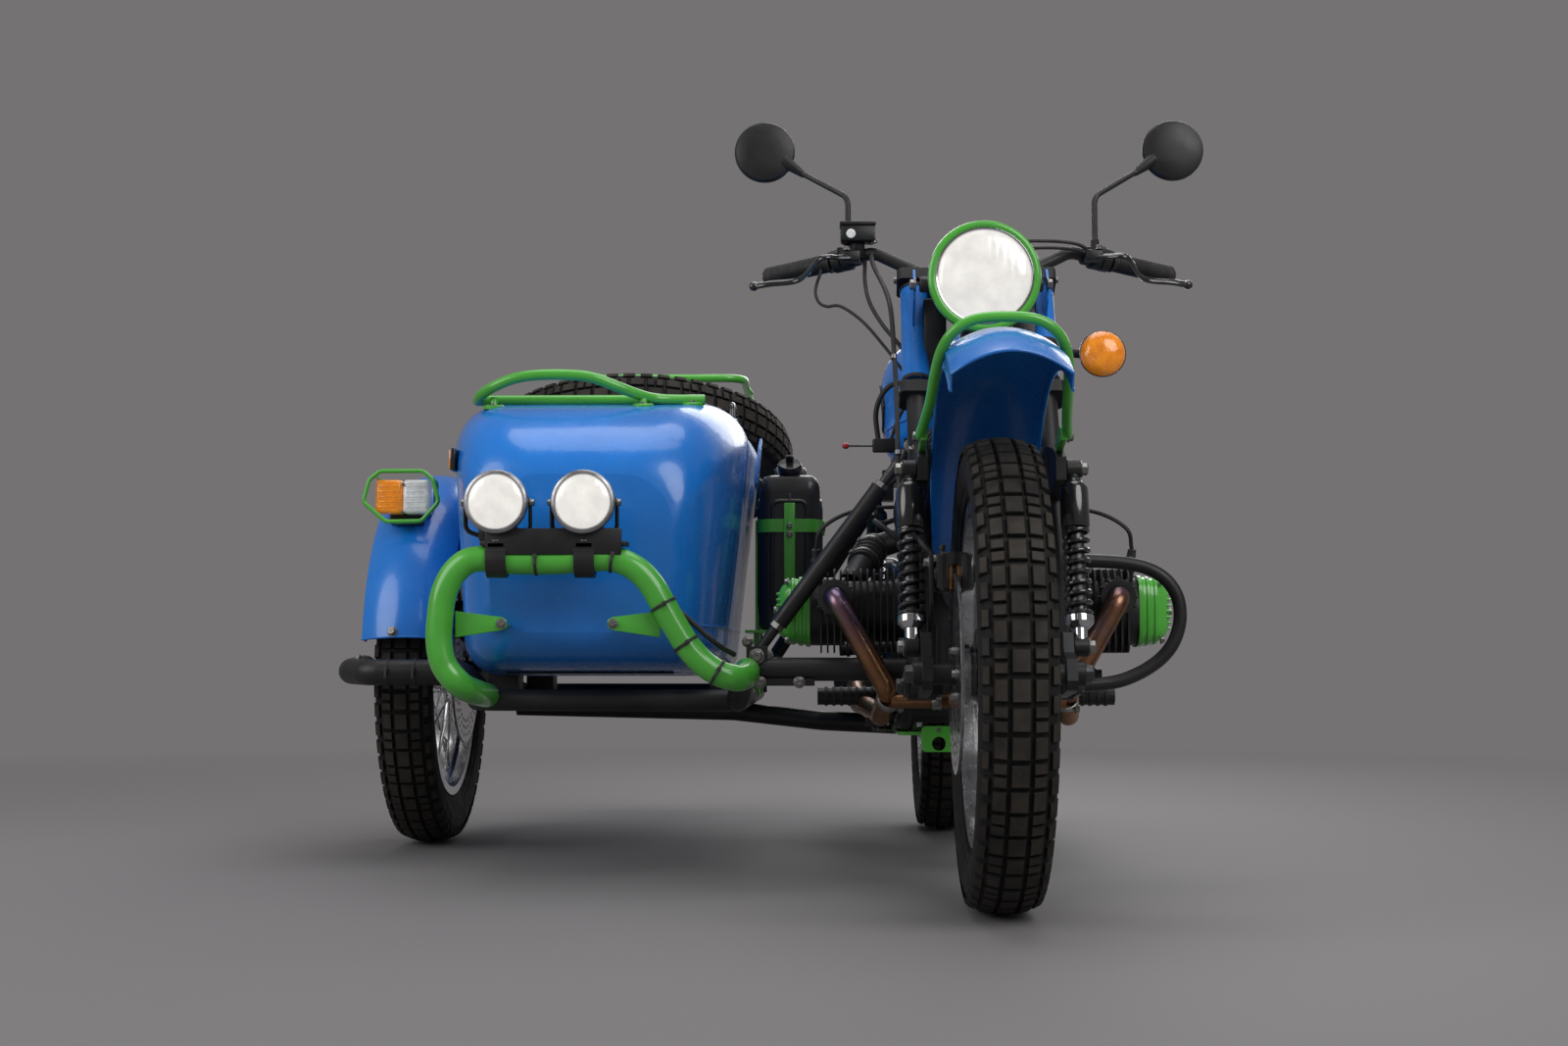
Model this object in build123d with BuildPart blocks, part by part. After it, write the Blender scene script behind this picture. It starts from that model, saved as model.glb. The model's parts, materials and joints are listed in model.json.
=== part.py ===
from build123d import *

import os
from math import cos, radians, sin, tan

# Sidecar motorcycle: a flat twin with a one-seat sidecar on the rider's right.
# Millimetres. +Z is up, the front faces -Y and +X is the rider's left.
# Places are given from the point on the ground under the front axle, on the
# motorcycle's centre line; at() carries them to the model's own frame.

os.makedirs("parts", exist_ok=True)

# --- driving dimensions ------------------------------------------------------
BIKE_X = 376.0  # motorcycle's centre line, from the middle of the whole vehicle
FRONT_AXLE_Y = -835.0  # front axle, from the middle of the whole vehicle
WHEELBASE = 1500.0
SIDECAR_WHEEL_X = -1060.0
SIDECAR_WHEEL_Y = 1160.0

TYRE_R = 350.0
TYRE_W = 108.0
BEAD_R = 241.3
FLANGE_R = 255.0
RIM_W = 84.0
RIM_WALL = 3.2
HUB_R = 46.0
HUB_HALF = 50.0
HUB_FLANGE_R = 66.0
AXLE_D = 20.0
RUN_GAP = 0.3  # clearance of a turning fit
SEAT_GAP = 0.3  # clearance between parts that rest on each other
SPOKE_D = 4.0
SPOKES_A_ROW = 10
SPOKE_LEAN = 34.0
DISC_R = 148.0
DISC_T = 5.0
DISC_X = 63.0

RAKE = 27.0
TRAIL = 70.0
HEAD_LOW = 797.5  # heights on the steering axis
HEAD_HIGH = 979.5
HEAD_D = 52.0
STEM_D = 30.0
YOKE_T = 22.0
LEG_X = 106.0
LEG_AHEAD = 45.0
LEG_D = 34.0
SHROUD_D = 46.0
LINK_PIVOT_Y = 160.0
LINK_PIVOT_Z = 330.0
LINK_T = 16.0
FRONT_SHOCK_X = 126.0

FENDER_T = 2.5
FRONT_FENDER_R = 440.0
FRONT_FENDER_HALF = 85.0
FRONT_FENDER_Y = -40.0
FRONT_FENDER_Z = 415.0
REAR_FENDER_R = 418.0
REAR_FENDER_HALF = 78.0
REAR_FENDER_Z = 350.0
SIDE_FENDER_R = 392.0
SIDE_FENDER_HALF = 83.0
SIDE_FENDER_X = -1049.0
SIDE_FENDER_Z = 360.0

CASE_HALF = 112.0
CYLINDER_Y = 525.0
CYLINDER_Z = 455.0
FIN_H = 144.0
FIN_D = 124.0
FIN_T = 3.0
FIN_PITCH = 11.4
FIN_FROM = 136.0
PORT_X = 240.0  # exhaust port in the head
PORT_Z = 477.0
PORT_FACE_Y = 452.0
FINS = 12
COVER_FROM = 282.0
COVER_T = 58.0
COVER_H = 124.0
COVER_D = 112.0

RAIL_X = 118.0
RAIL_Z = 262.0
FRAME_D = 28.0
BACKBONE_D = 42.0
SEAT_RAIL_X = 95.0
SEAT_RAIL_Z = 770.0
SEAT_RAIL_D = 25.0

SIDECAR_X = -677.0
BODY_WALL = 3.0
SIDE_RAIL_Z = 300.0
SIDE_RAIL_D = 38.0
LINK_TUBE_D = 40.0
LINK_TUBE_Y = 446.0
LINK_TUBE_Z = 355.0

FRONT_AXLE = (0, 0, TYRE_R)
REAR_AXLE = (0, WHEELBASE, TYRE_R)
SIDECAR_AXLE = (SIDECAR_WHEEL_X, SIDECAR_WHEEL_Y, TYRE_R)
RIGHT, LEFT = -1, 1
SIDES = (RIGHT, LEFT)


# --- places ------------------------------------------------------------------
def at(place):
    """A place given from under the front axle, in the model's frame."""
    return Vector(BIKE_X, FRONT_AXLE_Y, 0) + Vector(*place)


def steered(x, ahead, height):
    """A place beside the steering axis: height is where its foot is on the axis."""
    y = -TRAIL + height * tan(radians(RAKE))
    return (x, y - ahead * cos(radians(RAKE)), height + ahead * sin(radians(RAKE)))


# --- shapes used by many pieces ----------------------------------------------
def tube(places, diameter, bend, closed=False):
    """A round tube along straight runs with a bend of one radius at each corner."""
    with BuildLine() as path:
        FilletPolyline(*[at(p) for p in places], radius=bend, close=closed)
    with BuildSketch(Plane(origin=path.line @ 0, z_dir=path.line % 0)) as section:
        Circle(diameter / 2)
    sweep(section.sketch, path=path.line)


def rod(start, end, diameter):
    """A straight round bar from one place to another."""
    first, last = at(start), at(end)
    with BuildSketch(Plane(origin=first, z_dir=last - first)) as section:
        Circle(diameter / 2)
    extrude(section.sketch, amount=(last - first).length)


def pipe(start, end, outer, inner):
    """A straight pipe with an open bore."""
    first, last = at(start), at(end)
    with BuildSketch(Plane(origin=first, z_dir=last - first)) as section:
        Circle(outer / 2)
        Circle(inner / 2, mode=Mode.SUBTRACT)
    extrude(section.sketch, amount=(last - first).length)


def bored(start, end, diameter):
    """A round hole from one place to another."""
    first, last = at(start), at(end)
    hole = Solid.make_cylinder(diameter / 2, (last - first).length, Plane(origin=first, z_dir=last - first))
    add(hole, mode=Mode.SUBTRACT)


def block(center, size):
    with Locations(at(center)):
        Box(*size)


def plate_across(x, thickness, outline):
    """A flat plate square to X: outline is a list of (y, z); x is its lower face."""
    with BuildSketch(Plane.YZ.offset(BIKE_X + x)) as face:
        with BuildLine():
            Polyline(*[(FRONT_AXLE_Y + y, z) for y, z in outline], close=True)
        make_face()
    extrude(face.sketch, amount=thickness)


def turned(center, along, out, outline):
    """A turned solid: outline is a list of (distance along the axis, radius)."""
    plane = Plane(origin=at(center), x_dir=along, z_dir=Vector(*along).cross(Vector(*out)))
    with BuildSketch(plane) as profile:
        with BuildLine():
            Polyline(*outline, close=True)
        make_face()
    revolve(profile.sketch, axis=Axis(plane.origin, plane.x_dir))


def fender(center, radius, half, wall, skirt, first_angle, last_angle):
    """A crowned fender turned about an axis along X; angles run from +Y over the top."""
    crown = half * 0.42
    plane = Plane(origin=at(center), x_dir=(1, 0, 0), z_dir=(0, -1, 0))
    with BuildSketch(plane) as section:
        with BuildLine():
            ThreePointArc((-half, radius - crown), (0, radius), (half, radius - crown))
            Polyline(
                (half, radius - crown),
                (half, radius - crown - skirt),
                (half - wall, radius - crown - skirt),
                (half - wall, radius - crown - wall),
            )
            ThreePointArc(
                (half - wall, radius - crown - wall),
                (0, radius - wall),
                (wall - half, radius - crown - wall),
            )
            Polyline(
                (wall - half, radius - crown - wall),
                (wall - half, radius - crown - skirt),
                (-half, radius - crown - skirt),
                (-half, radius - crown),
            )
        make_face()
    axis = Axis(at(center), (1, 0, 0))
    start = section.sketch.rotate(axis, first_angle - 90)
    revolve(start, axis=axis, revolution_arc=last_angle - first_angle)


def cut(*pieces):
    """Takes finished pieces out of the one being made, so that it seats on them."""
    for piece in pieces:
        add(piece.part, mode=Mode.SUBTRACT)


def keep(piece, count):
    """Keeps the largest solids and drops the offcuts that seating leaves behind a thin wall."""
    piece.part = Part(piece.part.solids().sort_by(SortBy.VOLUME)[-count:])


def write(piece, name):
    piece.part.label = name
    export_step(piece.part, f"parts/{name}.step")


# --- wheels ------------------------------------------------------------------
with BuildPart() as tyre_form:
    # outline in (x, radius): bead, wall and tread
    bead, wall_r, shoulder, crown = RIM_W / 2 - 4, TYRE_R - 53, TYRE_R - 14, 20
    with BuildSketch(Plane.XZ) as tyre_profile:
        with BuildLine():
            Polyline(
                (-bead, BEAD_R), (-bead, FLANGE_R + 2), (-TYRE_W / 2, wall_r), (8 - TYRE_W / 2, shoulder),
                (-crown, TYRE_R), (crown, TYRE_R), (TYRE_W / 2 - 8, shoulder), (TYRE_W / 2, wall_r),
                (bead, FLANGE_R + 2), (bead, BEAD_R), close=True,
            )
        make_face()
    revolve(tyre_profile.sketch, axis=Axis.X)

with BuildPart() as wheel_form:
    rim_half, bead_in = RIM_W / 2, RIM_W / 2 - RIM_WALL
    well_r = BEAD_R - 16
    with BuildSketch(Plane.XZ) as rim_profile:
        with BuildLine():
            Polyline(
                (-rim_half, FLANGE_R), (-bead_in, FLANGE_R), (-bead_in, BEAD_R - SEAT_GAP),
                (-18, BEAD_R - SEAT_GAP), (-12, well_r + RIM_WALL), (12, well_r + RIM_WALL),
                (18, BEAD_R - SEAT_GAP), (bead_in, BEAD_R - SEAT_GAP), (bead_in, FLANGE_R),
                (rim_half, FLANGE_R), (rim_half, BEAD_R - RIM_WALL), (20, BEAD_R - RIM_WALL),
                (14, well_r), (-14, well_r), (-20, BEAD_R - RIM_WALL),
                (-rim_half, BEAD_R - RIM_WALL), close=True,
            )
        make_face()
    revolve(rim_profile.sketch, axis=Axis.X)
    with BuildSketch(Plane.XZ) as hub_profile:
        bore = AXLE_D / 2 + RUN_GAP
        with BuildLine():
            Polyline(
                (-HUB_HALF, bore), (-HUB_HALF, 30), (-36, HUB_R), (-34, HUB_FLANGE_R),
                (-26, HUB_FLANGE_R), (-24, HUB_R), (24, HUB_R), (26, HUB_FLANGE_R),
                (34, HUB_FLANGE_R), (36, HUB_R), (HUB_HALF, 30), (HUB_HALF, bore), close=True,
            )
        make_face()
    revolve(hub_profile.sketch, axis=Axis.X)
    spokes = []
    for side in SIDES:
        for lean in SIDES:
            for step in range(SPOKES_A_ROW):
                hub_turn = radians(step * 360 / SPOKES_A_ROW + 9 * side + 4.5 * lean)
                rim_turn = hub_turn + radians(lean * SPOKE_LEAN)
                hub_r, rim_r = HUB_FLANGE_R - 5, well_r + 1
                foot = Vector(side * (30 + lean), hub_r * cos(hub_turn), hub_r * sin(hub_turn))
                tip = Vector(side * 7, rim_r * cos(rim_turn), rim_r * sin(rim_turn))
                spokes.append(
                    Solid.make_cylinder(SPOKE_D / 2, (tip - foot).length,
                                        Plane(origin=foot, z_dir=tip - foot))
                )
    add(spokes)


def wheel(place, disc_side):
    """A spoked wheel at a place, with its brake disc on one side."""
    with Locations(at(place)):
        add(wheel_form.part)
    if disc_side:
        x, y, z = place
        near, far = x + disc_side * (HUB_HALF - 6), x + disc_side * (DISC_X + DISC_T / 2)
        pipe((near, y, z), (far, y, z), 92, 62)
        pipe((far - disc_side * DISC_T, y, z), (far, y, z), 2 * DISC_R, 62)


# table: node stem, axle, side of the brake disc
WHEELS = (
    ("front", FRONT_AXLE, RIGHT),
    ("rear", REAR_AXLE, LEFT),
    ("sidecar", SIDECAR_AXLE, LEFT),
)
for stem, axle, disc_side in WHEELS:
    with BuildPart() as spoked_wheel:
        wheel(axle, disc_side)
    write(spoked_wheel, f"{stem}_wheel")
    with BuildPart() as tyre:
        with Locations(at(axle)):
            add(tyre_form.part)
    write(tyre, f"{stem}_tyre")


# --- front end, turned by the bars -------------------------------------------
def yoke(low):
    """A yoke plate square to the steering axis, from a height on it."""
    plane = Plane(origin=at(steered(0, 0, low)), x_dir=(1, 0, 0),
                  z_dir=(0, sin(radians(RAKE)), cos(radians(RAKE))))
    reach = LEG_AHEAD + LEG_D / 2 + 9
    with BuildSketch(plane) as outline:
        with BuildLine():
            Polyline((-LEG_X - 28, -reach), (LEG_X + 28, -reach), (LEG_X + 28, -18),
                     (24, 27), (-24, 27), (-LEG_X - 28, -18), close=True)
        make_face()
        fillet(outline.vertices(), 9)
    extrude(outline.sketch, amount=YOKE_T)


BEND_HEIGHT = 520.0  # on the axis, where the legs turn down to the link pivots
LEG_TOP = HEAD_HIGH + 0.5 + YOKE_T + 6
SHOCK_TOP = (110.0, 664.0)
SHOCK_FOOT = (40.0, 390.0)
MOUNT_X = FRONT_SHOCK_X - 12  # face that carries the shock eyes

with BuildPart() as front_fender:
    fender((0, FRONT_FENDER_Y, FRONT_FENDER_Z), FRONT_FENDER_R, FRONT_FENDER_HALF, FENDER_T,
           26, 12, 121)
write(front_fender, "front_fender")

with BuildPart() as fork:
    yoke(HEAD_LOW - 0.5 - YOKE_T)
    yoke(HEAD_HIGH + 0.5)
    rod(steered(0, 0, HEAD_LOW - 12), steered(0, 0, LEG_TOP + 4), STEM_D)
    for side in SIDES:
        x = side * LEG_X
        tube([steered(x, LEG_AHEAD, LEG_TOP), steered(x, LEG_AHEAD, BEND_HEIGHT),
              (x, LINK_PIVOT_Y, LINK_PIVOT_Z - 8)], LEG_D, 90)
        # bracket that carries the top of the shock
        top_y, top_z = SHOCK_TOP
        plate_across(side * LEG_X - LINK_T / 2, LINK_T,
                     [(top_y - 18, top_z - 18), (top_y - 18, top_z + 18), (top_y + 20, top_z + 34),
                      (248, 716), (205, 610), (top_y + 20, top_z - 22)])
        # boss of the link pivot
        rod((x - 22, LINK_PIVOT_Y, LINK_PIVOT_Z), (x + 22, LINK_PIVOT_Y, LINK_PIVOT_Z), 44)
        # lug that holds the fender
        block((side * (LEG_X - LEG_D / 2 - 1), 236, 698), (10, 26, 24))
    cut(front_fender)
write(fork, "fork")

with BuildPart() as leading_links:
    for side in SIDES:
        x = side * LEG_X
        inner = x - LINK_T / 2
        plate_across(inner, LINK_T,
                     [(-26, 340), (-18, 372), (16, 382), (26, 412), (54, 412), (64, 378),
                      (LINK_PIVOT_Y - 34, 352), (LINK_PIVOT_Y - 34, 312), (10, 322), (-18, 326)])
        for ear in (-29.0, 22.5):
            plate_across(x + ear, 6.5,
                         [(LINK_PIVOT_Y - 60, 318), (LINK_PIVOT_Y - 60, 348),
                          (LINK_PIVOT_Y + 14, 350), (LINK_PIVOT_Y + 20, 330),
                          (LINK_PIVOT_Y + 12, 312)])
        block((x, LINK_PIVOT_Y - 47, 332), (58, 24, 28))
    rod((-LEG_X - 24, 0, TYRE_R), (LEG_X + 24, 0, TYRE_R), AXLE_D)
    for side in SIDES:
        rod((side * (HUB_HALF + 0.6), 0, TYRE_R), (side * (LEG_X - 4), 0, TYRE_R), 32)
        rod((side * (LEG_X + LINK_T / 2), 0, TYRE_R), (side * (LEG_X + 20), 0, TYRE_R), 38)
write(leading_links, "leading_links")


def shock(x, foot, top, mount_x, body_d, cover_share, coils):
    """A damper with its spring as stacked rings, eyes along X and pins to their mounts."""
    low, high = Vector(x, *foot), Vector(x, *top)
    way = high - low
    for y, z in (foot, top):
        rod((x - 11, y, z), (x + 11, y, z), 30)
        rod((mount_x, y, z), (x + (14 if x > mount_x else -14), y, z), 14)
    core, outer, length = body_d / 2 - 6, body_d / 2, way.length
    pitch = (cover_share - 0.17) * length / coils
    neck = body_d * 0.23
    outline = [(8, 0), (8, neck), (0.13 * length, neck), (0.13 * length, outer),
               (0.17 * length, outer)]
    for step in range(coils):
        start = 0.17 * length + step * pitch
        outline += [(start, core), (start + 0.2 * pitch, outer - 1), (start + 0.6 * pitch, outer - 1),
                    (start + 0.8 * pitch, core)]
    outline += [(cover_share * length, core), (cover_share * length, outer), (0.9 * length, outer),
                (0.93 * length, neck), (length - 8, neck), (length - 8, 0)]
    turned(tuple(low), tuple(way.normalized()), (1, 0, 0), outline)


with BuildPart() as front_shocks:
    for side in SIDES:
        shock(side * FRONT_SHOCK_X, SHOCK_FOOT, SHOCK_TOP, side * MOUNT_X, 44, 0.66, 8)
write(front_shocks, "front_shocks")

SHROUD_LOW, SHROUD_HIGH = HEAD_LOW + 6, HEAD_HIGH - 4
with BuildPart() as fork_shrouds:
    for side in SIDES:
        x = side * LEG_X
        pipe(steered(x, LEG_AHEAD, SHROUD_LOW), steered(x, LEG_AHEAD, SHROUD_HIGH),
             SHROUD_D, LEG_D + 2 * SEAT_GAP)
        # ear that holds the headlamp
        ear_low = steered(0, LEG_AHEAD + 14, 905)
        plate_across(side * (LEG_X + 3) - 2, 4,
                     [(ear_low[1] + 4, 905), (ear_low[1] + 34, 985),
                      (ear_low[1] - 45, 1012), (ear_low[1] - 62, 990), (ear_low[1] - 50, 960)])
    cut(fork)
write(fork_shrouds, "fork_shrouds")

LAMP_Z = 984.0
LAMP_FACE_Y = 200.0
LAMP_RING_R = 91.0
with BuildPart() as headlamp:
    # shell, lens and ring in (distance back from the face, radius)
    turned((0, LAMP_FACE_Y, LAMP_Z), (0, 1, 0), (0, 0, 1),
           [(0, 0), (0, LAMP_RING_R - 8), (4, LAMP_RING_R), (18, LAMP_RING_R), (24, LAMP_RING_R - 4),
            (62, LAMP_RING_R - 8), (96, LAMP_RING_R - 24), (118, LAMP_RING_R - 54), (124, 0)])
    for side in SIDES:
        rod((side * 70, 278, LAMP_Z), (side * (LEG_X + 3 - 2), 278, LAMP_Z), 22)
    cut(fork_shrouds, fork)
write(headlamp, "headlamp")

BAR_D = 22.0
BAR_END = (355.0, 560.0, 1052.0)
BAR_KNEE = (170.0, 478.0, 1078.0)
with BuildPart() as handlebar:
    foot = steered(0, -6, LEG_TOP + 24)
    tube([(-BAR_END[0], BAR_END[1], BAR_END[2]), (-BAR_KNEE[0], BAR_KNEE[1], BAR_KNEE[2]),
          (-76, foot[1] - 4, foot[2]), (76, foot[1] - 4, foot[2]),
          (BAR_KNEE[0], BAR_KNEE[1], BAR_KNEE[2]), BAR_END], BAR_D, 40)
    for side in SIDES:
        rod(steered(side * 46, -6, HEAD_HIGH + YOKE_T + 0.5), steered(side * 46, -6, LEG_TOP + 26), 30)
    # round gauge ahead of the clamps
    gauge = steered(0, 34, LEG_TOP + 22)
    rod(steered(0, 26, HEAD_HIGH + YOKE_T + 0.5), gauge, 34)
    rod(gauge, steered(0, 34, LEG_TOP + 62), 84)
    cut(fork)
write(handlebar, "handlebar")


def along_grip(share):
    """A place on the left bar between knee and end."""
    return Vector(*BAR_KNEE) + (Vector(*BAR_END) - Vector(*BAR_KNEE)) * share


def mirrored(place, side):
    return (side * place[0], place[1], place[2])


with BuildPart() as bar_controls:
    for side in SIDES:
        grip_way = (Vector(*BAR_END) - Vector(*BAR_KNEE)).normalized()
        start, stop = along_grip(0.40), Vector(*BAR_END) + grip_way * 6
        rod(mirrored(tuple(start), side), mirrored(tuple(stop), side), 34)
        # perch, lever and the housing of switches or brake fluid
        perch = along_grip(0.18)
        block((side * (perch.X + 8), perch.Y - 10, perch.Z - 4), (34, 46, 34))
        tube([(side * (perch.X + 8), perch.Y - 38, perch.Z - 8),
              (side * (perch.X + 60), perch.Y - 58, perch.Z - 14),
              (side * 330, 506, 1032), (side * 386, 520, 1026)], 11, 26)
        block((side * (perch.X + 14), perch.Y - 30, perch.Z - 6), (26, 30, 20))
    cylinder = along_grip(0.10)
    block((-(cylinder.X + 10), cylinder.Y - 18, cylinder.Z + 34), (62, 44, 34))
    rod((-(cylinder.X + 8), cylinder.Y - 12, cylinder.Z),
        (-(cylinder.X + 8), cylinder.Y - 12, cylinder.Z + 24), 30)
    cut(handlebar)
write(bar_controls, "bar_controls")

MIRROR = (362.0, 540.0, 1273.0)
MIRROR_D = 108.0
with BuildPart() as mirrors:
    for side in SIDES:
        base = along_grip(0.20)
        foot = (side * (base.X + 8), base.Y - 8, base.Z + 12)
        tube([foot, (side * (base.X + 8), base.Y - 6, 1182), (side * 300, 536, 1236)], 10, 22)
        rod((side * 292, 535, 1230), (side * 330, 541, 1256), 12)
        rod((side * MIRROR[0], MIRROR[1] - 12, MIRROR[2]),
            (side * MIRROR[0], MIRROR[1] + 10, MIRROR[2]), MIRROR_D)
    cut(bar_controls, handlebar)
write(mirrors, "mirrors")

with BuildPart() as fender_hoop:
    tube([(-112, 60, 712), (-100, -20, 742), (-92, -130, 812), (-50, -152, 858), (50, -152, 858),
          (92, -130, 812), (100, -20, 742), (112, 60, 712)], 16, 26)
    for side in SIDES:
        plate_across(side * LEG_X - LINK_T / 2, LINK_T,
                     [(52, 704), (52, 722), (70, 726), (SHOCK_TOP[0] + 22, SHOCK_TOP[1] + 42),
                      (SHOCK_TOP[0] + 10, SHOCK_TOP[1] + 24), (70, 702)])
    cut(fork, front_fender, front_shocks)
write(fender_hoop, "fender_hoop")

with BuildPart() as turn_signal:
    turned((197, 280, 869), (0, -1, 0), (0, 0, 1),
           [(-34, 0), (-34, 18), (-20, 34), (0, 38), (12, 34), (22, 20), (25, 0)])
    rod((197, 300, 869), steered(LEG_X, LEG_AHEAD, 862), 14)
    cut(fork_shrouds, fork)
keep(turn_signal, 1)
write(turn_signal, "turn_signal")

with BuildPart() as front_caliper:
    block((-72, 44, 498), (58, 66, 62))
    block((-72, 20, 500), (40, 40, 84))
    plate_across(-101, 6, [(30, 480), (70, 480), (84, 380), (60, 372), (40, 440)])
    with Locations(at((-DISC_X, 0, TYRE_R))):
        Cylinder(DISC_R + 5, DISC_T + 5, rotation=(0, 90, 0), mode=Mode.SUBTRACT)
    cut(leading_links, front_shocks, fork)
write(front_caliper, "front_caliper")

# --- motorcycle frame and engine ---------------------------------------------
PIVOT_Y, PIVOT_Z = 1045.0, 330.0  # swingarm pivot
PIVOT_D = 24.0
HEADER_Y = 398.0  # the headers run down in one plane ahead of the frame
SILENCER_X, SILENCER_Y, SILENCER_Z = 196.0, 905.0, 322.0
BACKBONE = [(0, 372, 868), (0, 930, 775)]
TANK_PAD_YS = (560, 860)
UPPER_LUG = (-104, 440, 735)  # where the upper strut of the sidecar holds the frame
SHOCK_MOUNT_X = 130.0
REAR_SHOCK_X = 142.0
REAR_SHOCK_TOP = (1390.0, 728.0)
REAR_SHOCK_FOOT = (1470.0, 392.0)


def backbone_z(y):
    (_, y0, z0), (_, y1, z1) = BACKBONE
    return z0 + (z1 - z0) * (y - y0) / (y1 - y0)


with BuildPart() as rear_fender:
    fender((0, WHEELBASE, REAR_FENDER_Z), REAR_FENDER_R, REAR_FENDER_HALF, FENDER_T, 34, 6, 158)

write(rear_fender, "rear_fender")

with BuildPart() as bike_frame:
    head_low, head_high = steered(0, 0, HEAD_LOW), steered(0, 0, HEAD_HIGH)
    pipe(head_low, head_high, HEAD_D, STEM_D + 2 * RUN_GAP)
    rod(*BACKBONE, BACKBONE_D)
    for y in TANK_PAD_YS:
        block((0, y, backbone_z(y) + 19), (40, 30, 16))
    for side in SIDES:
        x = side * RAIL_X
        tube([(side * 16, 370, 826), (side * 60, 440, 610), (x, LINK_TUBE_Y, 320),
              (x, LINK_TUBE_Y + 34, RAIL_Z), (x, 985, RAIL_Z), (side * SEAT_RAIL_X, PIVOT_Y + 8, 330),
              (side * SEAT_RAIL_X, PIVOT_Y + 8, SEAT_RAIL_Z - 10)], FRAME_D, 30)
        # seat rail from the backbone to the tail
        tube([(side * 12, 880, 772), (side * 60, 930, SEAT_RAIL_Z), (side * SEAT_RAIL_X, 1000, SEAT_RAIL_Z),
              (side * SEAT_RAIL_X, 1540, SEAT_RAIL_Z)], SEAT_RAIL_D, 30)
        rod((side * SEAT_RAIL_X, 1230, SEAT_RAIL_Z), (side * SEAT_RAIL_X, PIVOT_Y + 8, 560), 20)
        # plate that carries the top of the rear shock
        plate_across(side * (SHOCK_MOUNT_X - 12) - 12, 24,
                     [(1362, 716), (1362, 782), (1424, 782), (1416, 716)])
        plate_across(side * SEAT_RAIL_X - 20, 40,
                     [(1018, 296), (1018, 372), (1072, 372), (1072, 296)])
    rod((-SEAT_RAIL_X, 1330, SEAT_RAIL_Z), (SEAT_RAIL_X, 1330, SEAT_RAIL_Z), 22)
    rod((-SEAT_RAIL_X, 1536, SEAT_RAIL_Z), (SEAT_RAIL_X, 1536, SEAT_RAIL_Z), 22)
    rod((0, 1330, 728), (0, 1330, SEAT_RAIL_Z), 20)
    rod((0, 1536, 760), (0, 1536, SEAT_RAIL_Z), 20)
    rod((-RAIL_X, 470, RAIL_Z + 22), (RAIL_X, 470, RAIL_Z + 22), 24)
    rod((-RAIL_X, 940, RAIL_Z), (RAIL_X, 940, RAIL_Z), 24)
    # lug of the sidecar's upper strut
    tube([(-38, 396, 716), (-70, 424, 728), UPPER_LUG], 22, 12)
    block((UPPER_LUG[0] + 3, UPPER_LUG[1], UPPER_LUG[2]), (12, 34, 34))
    bored((-150, PIVOT_Y, PIVOT_Z), (150, PIVOT_Y, PIVOT_Z), PIVOT_D + 2 * SEAT_GAP)
    bored(steered(0, 0, HEAD_LOW - 1), steered(0, 0, HEAD_HIGH + 1), STEM_D + 2 * RUN_GAP)
    cut(rear_fender)
keep(bike_frame, 1)
write(bike_frame, "bike_frame")

with BuildPart() as engine_block:
    # table of the block's steps: y from, y to, half width, z from, z to, edge
    for y0, y1, half, z0, z1, edge in (
        (466, 690, CASE_HALF, 284, 584, 22),
        (690, 700, 92, 300, 560, 3),
        (700, 880, 88, 312, 548, 20),
    ):
        with BuildSketch(Plane(origin=at((0, y0, 0)), x_dir=(1, 0, 0), z_dir=(0, -1, 0))) as face:
            with Locations((0, (z0 + z1) / 2)):
                RectangleRounded(2 * half, z1 - z0, edge)
        extrude(face.sketch, amount=-(y1 - y0))
    rod((0, 452, 500), (0, 466, 500), 120)
    rod((-70, 820, PIVOT_Z + 20), (-70, 905, PIVOT_Z + 20), 70)
    # feet that rest on the lower rails
    for side in SIDES:
        for y in (560, 800):
            block((side * 96, y, 297), (44, 40, 40))
    cut(bike_frame)
write(engine_block, "engine_block")

with BuildPart() as cylinders:
    barrel_end = COVER_FROM - SEAT_GAP
    for side in SIDES:
        rod((side * (barrel_end - 60), CYLINDER_Y, CYLINDER_Z),
            (side * barrel_end, CYLINDER_Y, CYLINDER_Z), 118)
        # exhaust port ahead
        rod((side * PORT_X, CYLINDER_Y - 12, PORT_Z), (side * PORT_X, PORT_FACE_Y, PORT_Z), 45)
        rod((side * CASE_HALF, CYLINDER_Y, CYLINDER_Z), (side * barrel_end, CYLINDER_Y, CYLINDER_Z), 106)
        # inlet port behind
        rod((side * 212, CYLINDER_Y + 34, 503), (side * 190, 612, 540), 45)
        for step in range(FINS):
            x = side * (FIN_FROM + step * FIN_PITCH)
            with BuildSketch(Plane.YZ.offset(BIKE_X + min(x, x + side * FIN_T))) as fin:
                with Locations((FRONT_AXLE_Y + CYLINDER_Y, CYLINDER_Z)):
                    RectangleRounded(FIN_D, FIN_H, 16)
            extrude(fin.sketch, amount=FIN_T)
write(cylinders, "cylinders")

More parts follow.
